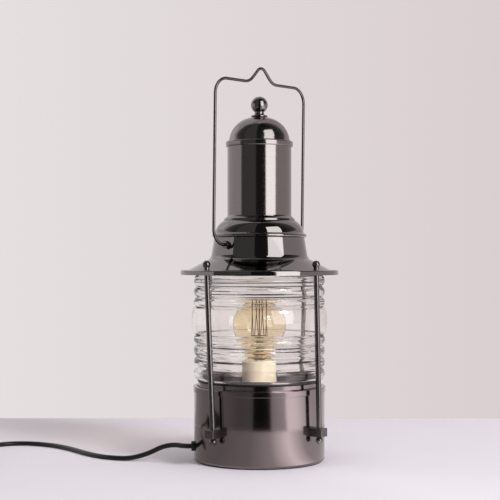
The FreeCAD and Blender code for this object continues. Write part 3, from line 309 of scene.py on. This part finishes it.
# The ballast: a plate of grey cast iron in the drum's foot, painted, on zinc plated screws. It gives the
# lamp its weight, and its paint shows the casting's grit, about 1.5 mm.
def dress(material, *nodes):
    """Gives the metal, glass or plastic of the real piece to nodes that keep their shape."""
    for name in nodes:
        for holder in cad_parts[name].material_slots:
            holder.material = material


iron_paint, tree = new_material("painted_cast_iron")
place = add_node(tree, "ShaderNodeTexCoord")
grit = add_node(tree, "ShaderNodeTexNoise", {"Scale": 700.0, "Detail": 3.0}, {"Vector": (place, "Object")})
tone = add_node(tree, "ShaderNodeMix", {"data_type": "RGBA", 6: linear("#232324"), 7: linear("#343536")},
                {0: (grit, "Fac")})
relief = add_node(tree, "ShaderNodeBump", {"Strength": 0.3, "Distance": 0.0004}, {"Height": (grit, "Fac")})
surface = add_node(tree, "ShaderNodeBsdfPrincipled", {"Roughness": 0.6},
                   {"Base Color": (tone, 2), "Normal": (relief, "Normal")})
add_node(tree, "ShaderNodeOutputMaterial", {}, {"Surface": (surface, "BSDF")})
dress(iron_paint, "ballast_plate")

# Zinc plating is pale and slightly clouded, over patches of about 6 mm.
zinc, tree = new_material("zinc_plated_steel")
place = add_node(tree, "ShaderNodeTexCoord")
cloud = add_node(tree, "ShaderNodeTexNoise", {"Scale": 160.0, "Detail": 3.0}, {"Vector": (place, "Object")})
dullness = add_node(tree, "ShaderNodeMapRange", {"To Min": 0.25, "To Max": 0.4}, {"Value": (cloud, "Fac")})
surface = add_node(tree, "ShaderNodeBsdfPrincipled", {"Metallic": 1.0, "Base Color": linear("#b9bcc0")},
                   {"Roughness": (dullness, "Result")})
add_node(tree, "ShaderNodeOutputMaterial", {}, {"Surface": (surface, "BSDF")})
dress(zinc, "plate_screws")


# The foot pad under the drum, the cord's gland and the two gaskets that the lens is held between are
# moulded rubber: near black, with a dull bloom and a grain of about 2 mm from the mould.
rubber, tree = new_material("moulded_black_rubber")
place = add_node(tree, "ShaderNodeTexCoord")
grain = add_node(tree, "ShaderNodeTexNoise", {"Scale": 500.0, "Detail": 2.0}, {"Vector": (place, "Object")})
relief = add_node(tree, "ShaderNodeBump", {"Strength": 0.2, "Distance": 0.0002}, {"Height": (grain, "Fac")})
tone = add_node(tree, "ShaderNodeMix", {"data_type": "RGBA", 6: linear("#141313"), 7: linear("#201f1f")},
                {0: (grain, "Fac")})
surface = add_node(tree, "ShaderNodeBsdfPrincipled", {"Roughness": 0.55},
                   {"Base Color": (tone, 2), "Normal": (relief, "Normal")})
add_node(tree, "ShaderNodeOutputMaterial", {}, {"Surface": (surface, "BSDF")})
dress(rubber, "foot_pad", "lens_gasket_lower", "lens_gasket_upper", "cord_gland")

# The gallery: a plated ring screwed to the deck, that the lens stands in. The seat ring does the same
# under the lid.
dress(satin_nickel, "gallery_ring")
dress(zinc, "gallery_screws", "lens_seat_ring")


# The four tie rods hold the lid down on the lens. Each stands in a bracket on the drum, with a ball nut
# below it and another on the brim. All are turned or bent steel, plated with black nickel and left a
# little dull, so a thin soft line of light runs up each rod. The plating clouds over about 11 mm.
small_nickel, tree = new_material("black_nickel_on_turned_steel")
place = add_node(tree, "ShaderNodeTexCoord")
cloud = add_node(tree, "ShaderNodeTexNoise", {"Scale": 90.0, "Detail": 3.0}, {"Vector": (place, "Object")})
dullness = add_node(tree, "ShaderNodeMapRange", {"To Min": 0.17, "To Max": 0.25}, {"Value": (cloud, "Fac")})
surface = add_node(tree, "ShaderNodeBsdfPrincipled", {"Metallic": 1.0, "Base Color": linear("#6c6867")},
                   {"Roughness": (dullness, "Result")})
add_node(tree, "ShaderNodeOutputMaterial", {}, {"Surface": (surface, "BSDF")})
for number in range(1, 5):
    dress(small_nickel, f"tie_rod_{number}", f"rod_bracket_{number}")
dress(small_nickel, "rod_bottom_nuts", "rod_top_nuts")
dress(zinc, "bracket_screws")


# The lamp holder: porcelain on a threaded steel nipple through the deck, with a drawn brass shell and
# contact inside for the bulb's cap. The glaze is cream and glossy, a little uneven over 17 mm.
porcelain, tree = new_material("glazed_cream_porcelain")
place = add_node(tree, "ShaderNodeTexCoord")
cloud = add_node(tree, "ShaderNodeTexNoise", {"Scale": 60.0, "Detail": 2.0}, {"Vector": (place, "Object")})
tone = add_node(tree, "ShaderNodeMix", {"data_type": "RGBA", 6: linear("#cfc4b2"), 7: linear("#c5b8a3")},
                {0: (cloud, "Fac")})
surface = add_node(tree, "ShaderNodeBsdfPrincipled",
                   {"Roughness": 0.25, "Coat Weight": 0.6, "Coat Roughness": 0.06}, {"Base Color": (tone, 2)})
add_node(tree, "ShaderNodeOutputMaterial", {}, {"Surface": (surface, "BSDF")})
dress(porcelain, "holder_body")
dress(zinc, "holder_nipple", "nipple_nuts")

# Drawn brass is yellow and softly bright, and its handling marks are about 8 mm across.
brass, tree = new_material("drawn_brass")
place = add_node(tree, "ShaderNodeTexCoord")
cloud = add_node(tree, "ShaderNodeTexNoise", {"Scale": 120.0, "Detail": 3.0}, {"Vector": (place, "Object")})
dullness = add_node(tree, "ShaderNodeMapRange", {"To Min": 0.18, "To Max": 0.32}, {"Value": (cloud, "Fac")})
surface = add_node(tree, "ShaderNodeBsdfPrincipled", {"Metallic": 1.0, "Base Color": linear("#d9b26a")},
                   {"Roughness": (dullness, "Result")})
add_node(tree, "ShaderNodeOutputMaterial", {}, {"Surface": (surface, "BSDF")})
dress(brass, "holder_shell", "holder_contact")


# The bulb: a blown globe with an amber tint on a brass cap, with a clear stem inside that carries a cage
# of long filament strands. A shadow ray passes its glass, as light does, so the lamps reach what is in it.
def clear_for_lamps(tree, glass, tint):
    """Lets the lamps' light through a glass shader, with the glass's tint."""
    path = add_node(tree, "ShaderNodeLightPath")
    through = add_node(tree, "ShaderNodeBsdfTransparent", {"Color": linear(tint)})
    both = add_node(tree, "ShaderNodeMixShader", {},
                    {0: (path, "Is Shadow Ray"), 1: (glass, "BSDF"), 2: (through, "BSDF")})
    add_node(tree, "ShaderNodeOutputMaterial", {}, {"Surface": (both, "Shader")})


amber_glass, tree = new_material("blown_amber_glass")
glass = add_node(tree, "ShaderNodeBsdfPrincipled",
                 {"Transmission Weight": 1.0, "Roughness": 0.0, "IOR": 1.42, "Base Color": linear("#fff6e2")})
clear_for_lamps(tree, glass, "#fdf6e8")
bulb_wall = 0.8
bulb = turned_piece("bulb_globe", [
    (13.2, 117.0), (16.5, 120.0), (16.5, 124.08), (16.95, 126.68, 17.731, 128.156), (24.034, 136.222),
    (26.414, 170.25, 0.0, 185.5),
], amber_glass, bulb_wall, steps=128)
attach(bulb, "lamp")
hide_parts("bulb_glass")

clear_glass, tree = new_material("clear_drawn_glass")
glass = add_node(tree, "ShaderNodeBsdfPrincipled",
                 {"Transmission Weight": 1.0, "Roughness": 0.0, "IOR": 1.48, "Base Color": linear("#fffdf8")})
clear_for_lamps(tree, glass, "#f8f6f0")
dress(clear_glass, "bulb_stem")
dress(brass, "bulb_cap", "bulb_tip")
dress(porcelain, "bulb_insulator")

# A cold carbon filament is matt and brown, darker in places along its length.
filament, tree = new_material("carbon_filament")
place = add_node(tree, "ShaderNodeTexCoord")
cloud = add_node(tree, "ShaderNodeTexNoise", {"Scale": 200.0, "Detail": 1.0}, {"Vector": (place, "Object")})
tone = add_node(tree, "ShaderNodeMix", {"data_type": "RGBA", 6: linear("#6b4a2e"), 7: linear("#4a3322")},
                {0: (cloud, "Fac")})
surface = add_node(tree, "ShaderNodeBsdfPrincipled", {"Roughness": 0.4}, {"Base Color": (tone, 2)})
add_node(tree, "ShaderNodeOutputMaterial", {}, {"Surface": (surface, "BSDF")})
dress(filament, "bulb_filament")


# The lens: clear glass, pressed in a mould, with four prism rings below its plain window and three above.
# Its wall is even, so the rings show inside as well.
lens_wall, notch_radius, crest_radius, window_radius = 4.0, 72.2, 75.4, 78.0
lens_low, window_low, window_top, lens_top = 93.4, 145.8, 175.3, 214.7
lower_rings, lower_pitch, upper_rings, upper_pitch = 4, 13.1, 3, 12.4

# Pressed glass has slow waves, about 36 mm long, and on its rings the mould leaves level ripples, about
# 4 mm apart, that break what is seen through them into streaks. The window is free of those.
pressed_glass, tree = new_material("clear_pressed_glass")
place = add_node(tree, "ShaderNodeTexCoord")
waves = add_node(tree, "ShaderNodeTexNoise", {"Scale": 28.0, "Detail": 1.0}, {"Vector": (place, "Object")})
rings = add_node(tree, "ShaderNodeMapping", {"Scale": (5, 5, 230)}, {"Vector": (place, "Object")})
ripples = add_node(tree, "ShaderNodeTexNoise", {"Scale": 1.0, "Detail": 0.0}, {"Vector": (rings, "Vector")})
height = add_node(tree, "ShaderNodeSeparateXYZ", {}, {"Vector": (place, "Object")})
window_middle, window_reach = (window_low + window_top) / 2, 14.6
in_window = add_node(tree, "ShaderNodeMath",
                     {"operation": "COMPARE", 1: window_middle * mm, 2: window_reach * mm}, {0: (height, "Z")})
lines = add_node(tree, "ShaderNodeMix", {"data_type": "FLOAT", 3: 0.5},
                 {0: (in_window, "Value"), 2: (ripples, "Fac")})
slow = add_node(tree, "ShaderNodeBump", {"Strength": 0.06, "Distance": 0.002}, {"Height": (waves, "Fac")})
relief = add_node(tree, "ShaderNodeBump", {"Strength": 0.8, "Distance": 0.0036},
                  {"Height": (lines, 0), "Normal": (slow, "Normal")})
glass = add_node(tree, "ShaderNodeBsdfPrincipled",
                 {"Transmission Weight": 1.0, "Roughness": 0.0, "IOR": 1.47, "Base Color": linear("#fefdfb")},
                 {"Normal": (relief, "Normal")})
clear_for_lamps(tree, glass, "#f4f2ee")


def lens_side(inset):
    """The lens's outline from its foot up, set in from the outer side by an even wall."""
    notch, crest, window = notch_radius - inset, crest_radius - inset, window_radius - inset
    side = [(notch, lens_low)]
    for ring in range(lower_rings):
        low = lens_low + ring * lower_pitch
        side.append((crest, low + lower_pitch / 2, notch, low + lower_pitch))
    side += [(crest, window_low), (window, window_middle, crest, window_top), (notch, window_top)]
    for ring in range(upper_rings):
        low = window_top + ring * upper_pitch
        side.append((crest, low + upper_pitch / 2, notch, low + upper_pitch))
    return side + [(notch, lens_top)]


def reversed_steps(steps):
    """The same outline from its far end back to its start."""
    back = [steps[-1][-2:]]
    for step, before in zip(steps[:0:-1], steps[-2::-1]):
        back.append(step[:-2] + before[-2:])
    return back


lens_outline = lens_side(0) + reversed_steps(lens_side(lens_wall)) + [(notch_radius, lens_low)]
lens = turned_piece("pressed_lens", lens_outline, pressed_glass)
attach(lens, "lamp")
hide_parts("fresnel_lens")


# The lid: brim and bell spun in one from steel sheet, with a rounded shoulder, a chimney and a domed cap
# on it, all drawn together by a stud down the middle. They are polished and plated with black nickel.
dress(zinc, "lid_stud", "lid_bridge", "lid_stud_nut")

# Polished plate shows the room in upright bands with clean edges, and the turning marks, about 1.5 mm
# apart, only just break them.
mirror_nickel, tree = new_material("polished_black_nickel_on_spun_steel")
place = add_node(tree, "ShaderNodeTexCoord")
turning = add_node(tree, "ShaderNodeMapping", {"Scale": (5, 5, 700)}, {"Vector": (place, "Object")})
marks = add_node(tree, "ShaderNodeTexNoise", {"Scale": 1.0, "Detail": 2.0}, {"Vector": (turning, "Vector")})
cloud = add_node(tree, "ShaderNodeTexNoise", {"Scale": 25.0, "Detail": 3.0}, {"Vector": (place, "Object")})
dullness = add_node(tree, "ShaderNodeMapRange", {"To Min": 0.03, "To Max": 0.08}, {"Value": (cloud, "Fac")})
relief = add_node(tree, "ShaderNodeBump", {"Strength": 0.015, "Distance": 0.0001},
                  {"Height": (marks, "Fac")})
surface = add_node(tree, "ShaderNodeBsdfPrincipled", {"Metallic": 1.0, "Base Color": linear("#7f7c7b")},
                   {"Roughness": (dullness, "Result"), "Normal": (relief, "Normal")})
add_node(tree, "ShaderNodeOutputMaterial", {}, {"Surface": (surface, "BSDF")})

brim = turned_piece("lid_bell_shell", [
    (90.9, 213.0), (90.9, 216.9), (90.431, 218.031, 89.3, 218.5), (81.2, 218.9), (58.8, 230.4),
    (56.2, 233.2, 55.2, 236.0), (52.1, 255.5), (46.1, 255.5),
], mirror_nickel, sheet_wall)
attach(brim, "lamp")
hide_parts("lid_bell")

shoulder = turned_piece("lid_shoulder_shell", [
    (47.1, 255.6), (52.2, 255.6), (54.5, 257.9, 52.2, 260.2), (51.3, 260.9),
    (48.4, 268.6, 42.6, 274.3), (41.4, 274.9), (33.9, 274.9),
], mirror_nickel, sheet_wall)
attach(shoulder, "lamp")
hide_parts("lid_shoulder")

# The chimney is rolled and finely brushed before plating, and the cap and the knob match it. Brushing
# lines about 1 mm apart, drawn coarser than real so that they show, soften the bands' edges.
brushed_nickel, tree = new_material("brushed_black_nickel_on_rolled_steel")
place = add_node(tree, "ShaderNodeTexCoord")
turning = add_node(tree, "ShaderNodeMapping", {"Scale": (9, 9, 900)}, {"Vector": (place, "Object")})
lines = add_node(tree, "ShaderNodeTexNoise", {"Scale": 1.0, "Detail": 3.0}, {"Vector": (turning, "Vector")})
dullness = add_node(tree, "ShaderNodeMapRange", {"To Min": 0.09, "To Max": 0.16}, {"Value": (lines, "Fac")})
plate = add_node(tree, "ShaderNodeMix", {"data_type": "RGBA", 6: linear("#7b7776"), 7: linear("#868180")},
                 {0: (lines, "Fac")})
relief = add_node(tree, "ShaderNodeBump", {"Strength": 0.03, "Distance": 0.0001},
                  {"Height": (lines, "Fac")})
surface = add_node(tree, "ShaderNodeBsdfPrincipled", {"Metallic": 1.0},
                   {"Base Color": (plate, 2), "Roughness": (dullness, "Result"),
                    "Normal": (relief, "Normal")})
add_node(tree, "ShaderNodeOutputMaterial", {}, {"Surface": (surface, "BSDF")})

chimney = turned_piece("chimney_shell", [
    (34.5, 275.0), (41.4, 275.0), (40.7, 277.2), (37.5, 279.8), (36.9, 281.0), (36.9, 362.0),
], brushed_nickel, sheet_wall)
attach(chimney, "lamp")
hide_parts("chimney_tube")

dome = turned_piece("dome_shell", [
    (38.2, 360.0), (38.8, 361.0), (38.8, 364.7), (38.331, 365.831, 37.2, 366.3), (35.8, 366.7),
    (35.2, 368.4), (34.8, 369.4), (27.9, 384.2, 9.8, 393.8), (2.1, 394.2),
], brushed_nickel, sheet_wall)
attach(dome, "lamp")
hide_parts("dome_cap")

finial = turned_piece("finial_knob", [
    (0.0, 394.2), (9.1, 394.2), (9.6, 395.25, 9.1, 396.3), (6.8, 396.5), (5.6, 398.35, 5.6, 400.357),
    (9.8, 408.4, 0.0, 418.2),
], brushed_nickel, steps=96)
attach(finial, "lamp")
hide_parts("finial")


# The bail: steel wire 3.5 mm thick, bent cold to a square handle and plated. A crook in the middle of its
# top takes a hook, so that the lamp hangs straight, and its two ends turn in the bushes on the bell.
wire_radius, bail_pivot, bail_height, bail_end = 1.75, 247.0, 186.4, 50.16
bail_half_width, crook_half_width, crook_slope = 75.0, 27.2, 46.0
foot_bend, corner_bend, crook_foot, crook_top = 17.0, 18.0, 18.0, 8.0
bail_azimuth, bail_lean = -140.05, -0.9

wire_foot = bail_half_width - bail_end - foot_bend
leg = bail_height - foot_bend - corner_bend
top_bar = bail_half_width - crook_half_width - corner_bend
slope = math.radians(crook_slope)
crook_side = (crook_half_width - (crook_foot + crook_top) * math.sin(slope)) / math.cos(slope)
# Each step is a straight length, then a bend's radius and its turn in degrees.
bail_steps = [
    (wire_foot, foot_bend, 90), (leg, corner_bend, 90), (top_bar, crook_foot, -crook_slope),
    (crook_side, crook_top, 2 * crook_slope), (crook_side, crook_foot, -crook_slope),
    (top_bar, corner_bend, 90), (leg, foot_bend, 90), (wire_foot, 0, 0),
]
shape = bmesh.new()
where, heading = Vector((-bail_end, 0, bail_pivot)), Vector((-1, 0, 0))
upright = Matrix.Translation(where) @ Matrix.Rotation(math.pi / 2, 4, "Y")
bmesh.ops.create_circle(shape, cap_ends=False, radius=wire_radius, segments=28, matrix=upright)
tip = shape.verts[:] + shape.edges[:]
for length, bend, turn in bail_steps:
    run = bmesh.ops.spin(shape, geom=tip, cent=where, axis=(0, 1, 0), dvec=heading * length, angle=0, steps=1)
    tip = run["geom_last"]
    where += heading * length
    if turn:
        side = Matrix.Rotation(math.copysign(math.pi / 2, turn), 3, "Y") @ heading
        centre, angle = where + side * bend, math.radians(turn)
        elbow = bmesh.ops.spin(shape, geom=tip, cent=centre, axis=(0, 1, 0), angle=angle,
                               steps=math.ceil(abs(turn) / 5))
        tip = elbow["geom_last"]
        bending = Matrix.Rotation(angle, 3, "Y")
        where, heading = centre + bending @ (where - centre), bending @ heading
bmesh.ops.holes_fill(shape, edges=shape.edges[:], sides=0)
bmesh.ops.remove_doubles(shape, verts=shape.verts, dist=0.0005)
bmesh.ops.recalc_face_normals(shape, faces=shape.faces)
leaning = Matrix.Rotation(math.radians(bail_lean), 3, "X")
facing = Matrix.Rotation(math.radians(bail_azimuth), 3, "Z")
bmesh.ops.rotate(shape, cent=(0, 0, bail_pivot), matrix=leaning, verts=shape.verts)
bmesh.ops.rotate(shape, cent=(0, 0, 0), matrix=facing, verts=shape.verts)
bail = finish_piece("bail_wire", shape, small_nickel)
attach(bail, "bail")
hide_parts("bail_handle")
dress(small_nickel, "bail_ear_front", "bail_ear_rear", "bail_washers")


# The switch, the plug and the blocks inside the drum are moulded plastic, near black. A spark grain of
# about 1 mm, drawn coarser than real so that it shows, makes their shine a little dull.
plastic, tree = new_material("moulded_black_plastic")
place = add_node(tree, "ShaderNodeTexCoord")
grain = add_node(tree, "ShaderNodeTexNoise", {"Scale": 900.0, "Detail": 2.0}, {"Vector": (place, "Object")})
relief = add_node(tree, "ShaderNodeBump", {"Strength": 0.15, "Distance": 0.0001}, {"Height": (grain, "Fac")})
tone = add_node(tree, "ShaderNodeMix", {"data_type": "RGBA", 6: linear("#161617"), 7: linear("#1e1e20")},
                {0: (grain, "Fac")})
surface = add_node(tree, "ShaderNodeBsdfPrincipled", {"Roughness": 0.38},
                   {"Base Color": (tone, 2), "Normal": (relief, "Normal")})
add_node(tree, "ShaderNodeOutputMaterial", {}, {"Surface": (surface, "BSDF")})
dress(plastic, "switch_base", "switch_cover", "switch_rocker", "plug_body", "terminal_block", "cord_anchor")
dress(brass, "plug_pins")

# The mains cord: two cores in a round black PVC sheath, 5.6 mm thick, about 1.8 m from lamp to plug.
# It runs straight out of its gland, falls to the table and curves away past the picture's left edge.
# The sheath has a low shine, broken by an extrusion grain of about 3 mm.
sheath, tree = new_material("black_pvc_cord_sheath")
place = add_node(tree, "ShaderNodeTexCoord")
grain = add_node(tree, "ShaderNodeTexNoise", {"Scale": 350.0, "Detail": 2.0}, {"Vector": (place, "Object")})
relief = add_node(tree, "ShaderNodeBump", {"Strength": 0.12, "Distance": 0.0002}, {"Height": (grain, "Fac")})
dullness = add_node(tree, "ShaderNodeMapRange", {"To Min": 0.28, "To Max": 0.4}, {"Value": (grain, "Fac")})
surface = add_node(tree, "ShaderNodeBsdfPrincipled", {"Base Color": linear("#0f0e0f")},
                   {"Roughness": (dullness, "Result"), "Normal": (relief, "Normal")})
add_node(tree, "ShaderNodeOutputMaterial", {}, {"Surface": (surface, "BSDF")})
dress(sheath, "cord_tail", "inner_leads")
dress(zinc, "gland_nut")

cord_radius = 2.8
lamp_route = [
    (-0.0785, 0, 0.017), (-0.0865, 0, 0.017), (-0.0975, -0.001, 0.0192), (-0.1115, -0.001, 0.0174),
    (-0.128, 0.002, 0.0088), (-0.147, 0.007, 0.0032), (-0.165, 0.014, 0.0028), (-0.182, 0.028, 0.0028),
    (-0.198, 0.053, 0.0028), (-0.215, 0.089, 0.0028), (-0.235, 0.119, 0.0028), (-0.257, 0.137, 0.0028),
    (-0.277, 0.1445, 0.0028), (-0.296, 0.142, 0.0028), (-0.311, 0.131, 0.0028), (-0.323, 0.1135, 0.0028),
    (-0.331, 0.096, 0.0036), (-0.333, 0.080, 0.009), (-0.333, 0.066, 0.009),
]
plug_route = [
    (-0.333, 0.004, 0.009), (-0.333, -0.010, 0.009), (-0.334, -0.028, 0.0034),
    (-0.331, -0.046, 0.0028), (-0.333, -0.062, 0.0028), (-0.333, -0.076, 0.0028),
]

# The coil lies in two layers: in from the outside, up over half a turn, and out again.
# A spline cuts inside its points, so these stand out by the cosine of half the angle between two.
points_per_turn = 16
turns_in, turns_up, turns_out = 3.5, 0.5, 3.5
coil_pitch, outer_turn, inner_turn, layer_rise = 6.1, 40.0, 18.7, 6.1
first_middle = Vector((-373.0, -81.6, cord_radius))
second_middle = first_middle + Vector((-coil_pitch / 2, 0, layer_rise))
for point in range(int((turns_in + turns_up + turns_out) * points_per_turn) + 1):
    turns = point / points_per_turn
    if turns < turns_in:
        radius, share = outer_turn - coil_pitch * turns, 0.0
    elif turns < turns_in + turns_up:
        radius, share = inner_turn, (turns - turns_in) / turns_up
    else:
        radius, share = inner_turn + coil_pitch * (turns - turns_in - turns_up), 1.0
    radius /= math.cos(math.pi / points_per_turn)
    around = -2 * math.pi * turns
    offset = Vector((radius * math.cos(around), radius * math.sin(around), 0))
    plug_route.append((first_middle.lerp(second_middle, share) + offset) * mm)
coil_end = Vector((second_middle.x - 40.05, second_middle.y, second_middle.z))
plug_route += [(coil_end + Vector((0, 10, 0))) * mm, (coil_end + Vector((0, 20, 0))) * mm]


def cord_piece(name, route, material):
    """A round cord along a smooth spline."""
    line = bpy.data.curves.new(name, "CURVE")
    line.dimensions = "3D"
    spline = line.splines.new("NURBS")
    spline.points.add(len(route) - 1)
    for point, position in zip(spline.points, route):
        point.co = (*position, 1.0)
    spline.order_u = 3
    spline.use_endpoint_u = True
    spline.resolution_u = 6
    line.bevel_depth = cord_radius * mm
    line.bevel_resolution = 4
    line.use_fill_caps = True
    line.materials.append(material)
    piece = bpy.data.objects.new(name, line)
    bpy.context.scene.collection.objects.link(piece)
    return piece


def cord_sleeve(name, cord, at_start, length, thick, thin):
    """The tapered sleeve that keeps a cord from kinking where it leaves a moulded housing."""
    line = cord.data.copy()
    line.bevel_depth = 0
    holder = bpy.data.objects.new("route", line)
    bpy.context.scene.collection.objects.link(holder)
    evaluated = holder.evaluated_get(bpy.context.evaluated_depsgraph_get())
    points = [vertex.co.copy() for vertex in bpy.data.meshes.new_from_object(evaluated).vertices]
    bpy.data.objects.remove(holder)
    if not at_start:
        points.reverse()
    path, reach = [points[0]], 0.0
    while reach < length * mm:
        reach += (points[len(path)] - path[-1]).length
        path.append(points[len(path)])
    sleeve = bpy.data.curves.new(name, "CURVE")
    sleeve.dimensions = "3D"
    spline = sleeve.splines.new("POLY")
    spline.points.add(len(path) - 1)
    gone = 0.0
    for number, point in enumerate(spline.points):
        if number:
            gone += (path[number] - path[number - 1]).length
        point.co = (*path[number], 1.0)
        point.radius = 1.0 - (1.0 - thin / thick) * gone / reach
    sleeve.bevel_depth = thick * mm
    sleeve.bevel_resolution = 6
    sleeve.use_fill_caps = True
    sleeve.materials.append(plastic)
    piece = bpy.data.objects.new(name, sleeve)
    bpy.context.scene.collection.objects.link(piece)
    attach(piece, "lamp")
    return piece


lamp_cord = cord_piece("cord_to_switch", lamp_route, sheath)
near_sleeve = cord_sleeve("switch_sleeve_near", lamp_cord, False, 22.0, 4.4, 3.1)
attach(lamp_cord, "lamp")
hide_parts("cord_run_near")

plug_cord = cord_piece("cord_to_plug", plug_route, sheath)
far_sleeve = cord_sleeve("switch_sleeve_far", plug_cord, True, 22.0, 4.4, 3.1)
plug_sleeve = cord_sleeve("plug_sleeve", plug_cord, False, 26.0, 5.0, 3.1)
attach(plug_cord, "lamp")
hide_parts("cord_run_far", "cord_coil")
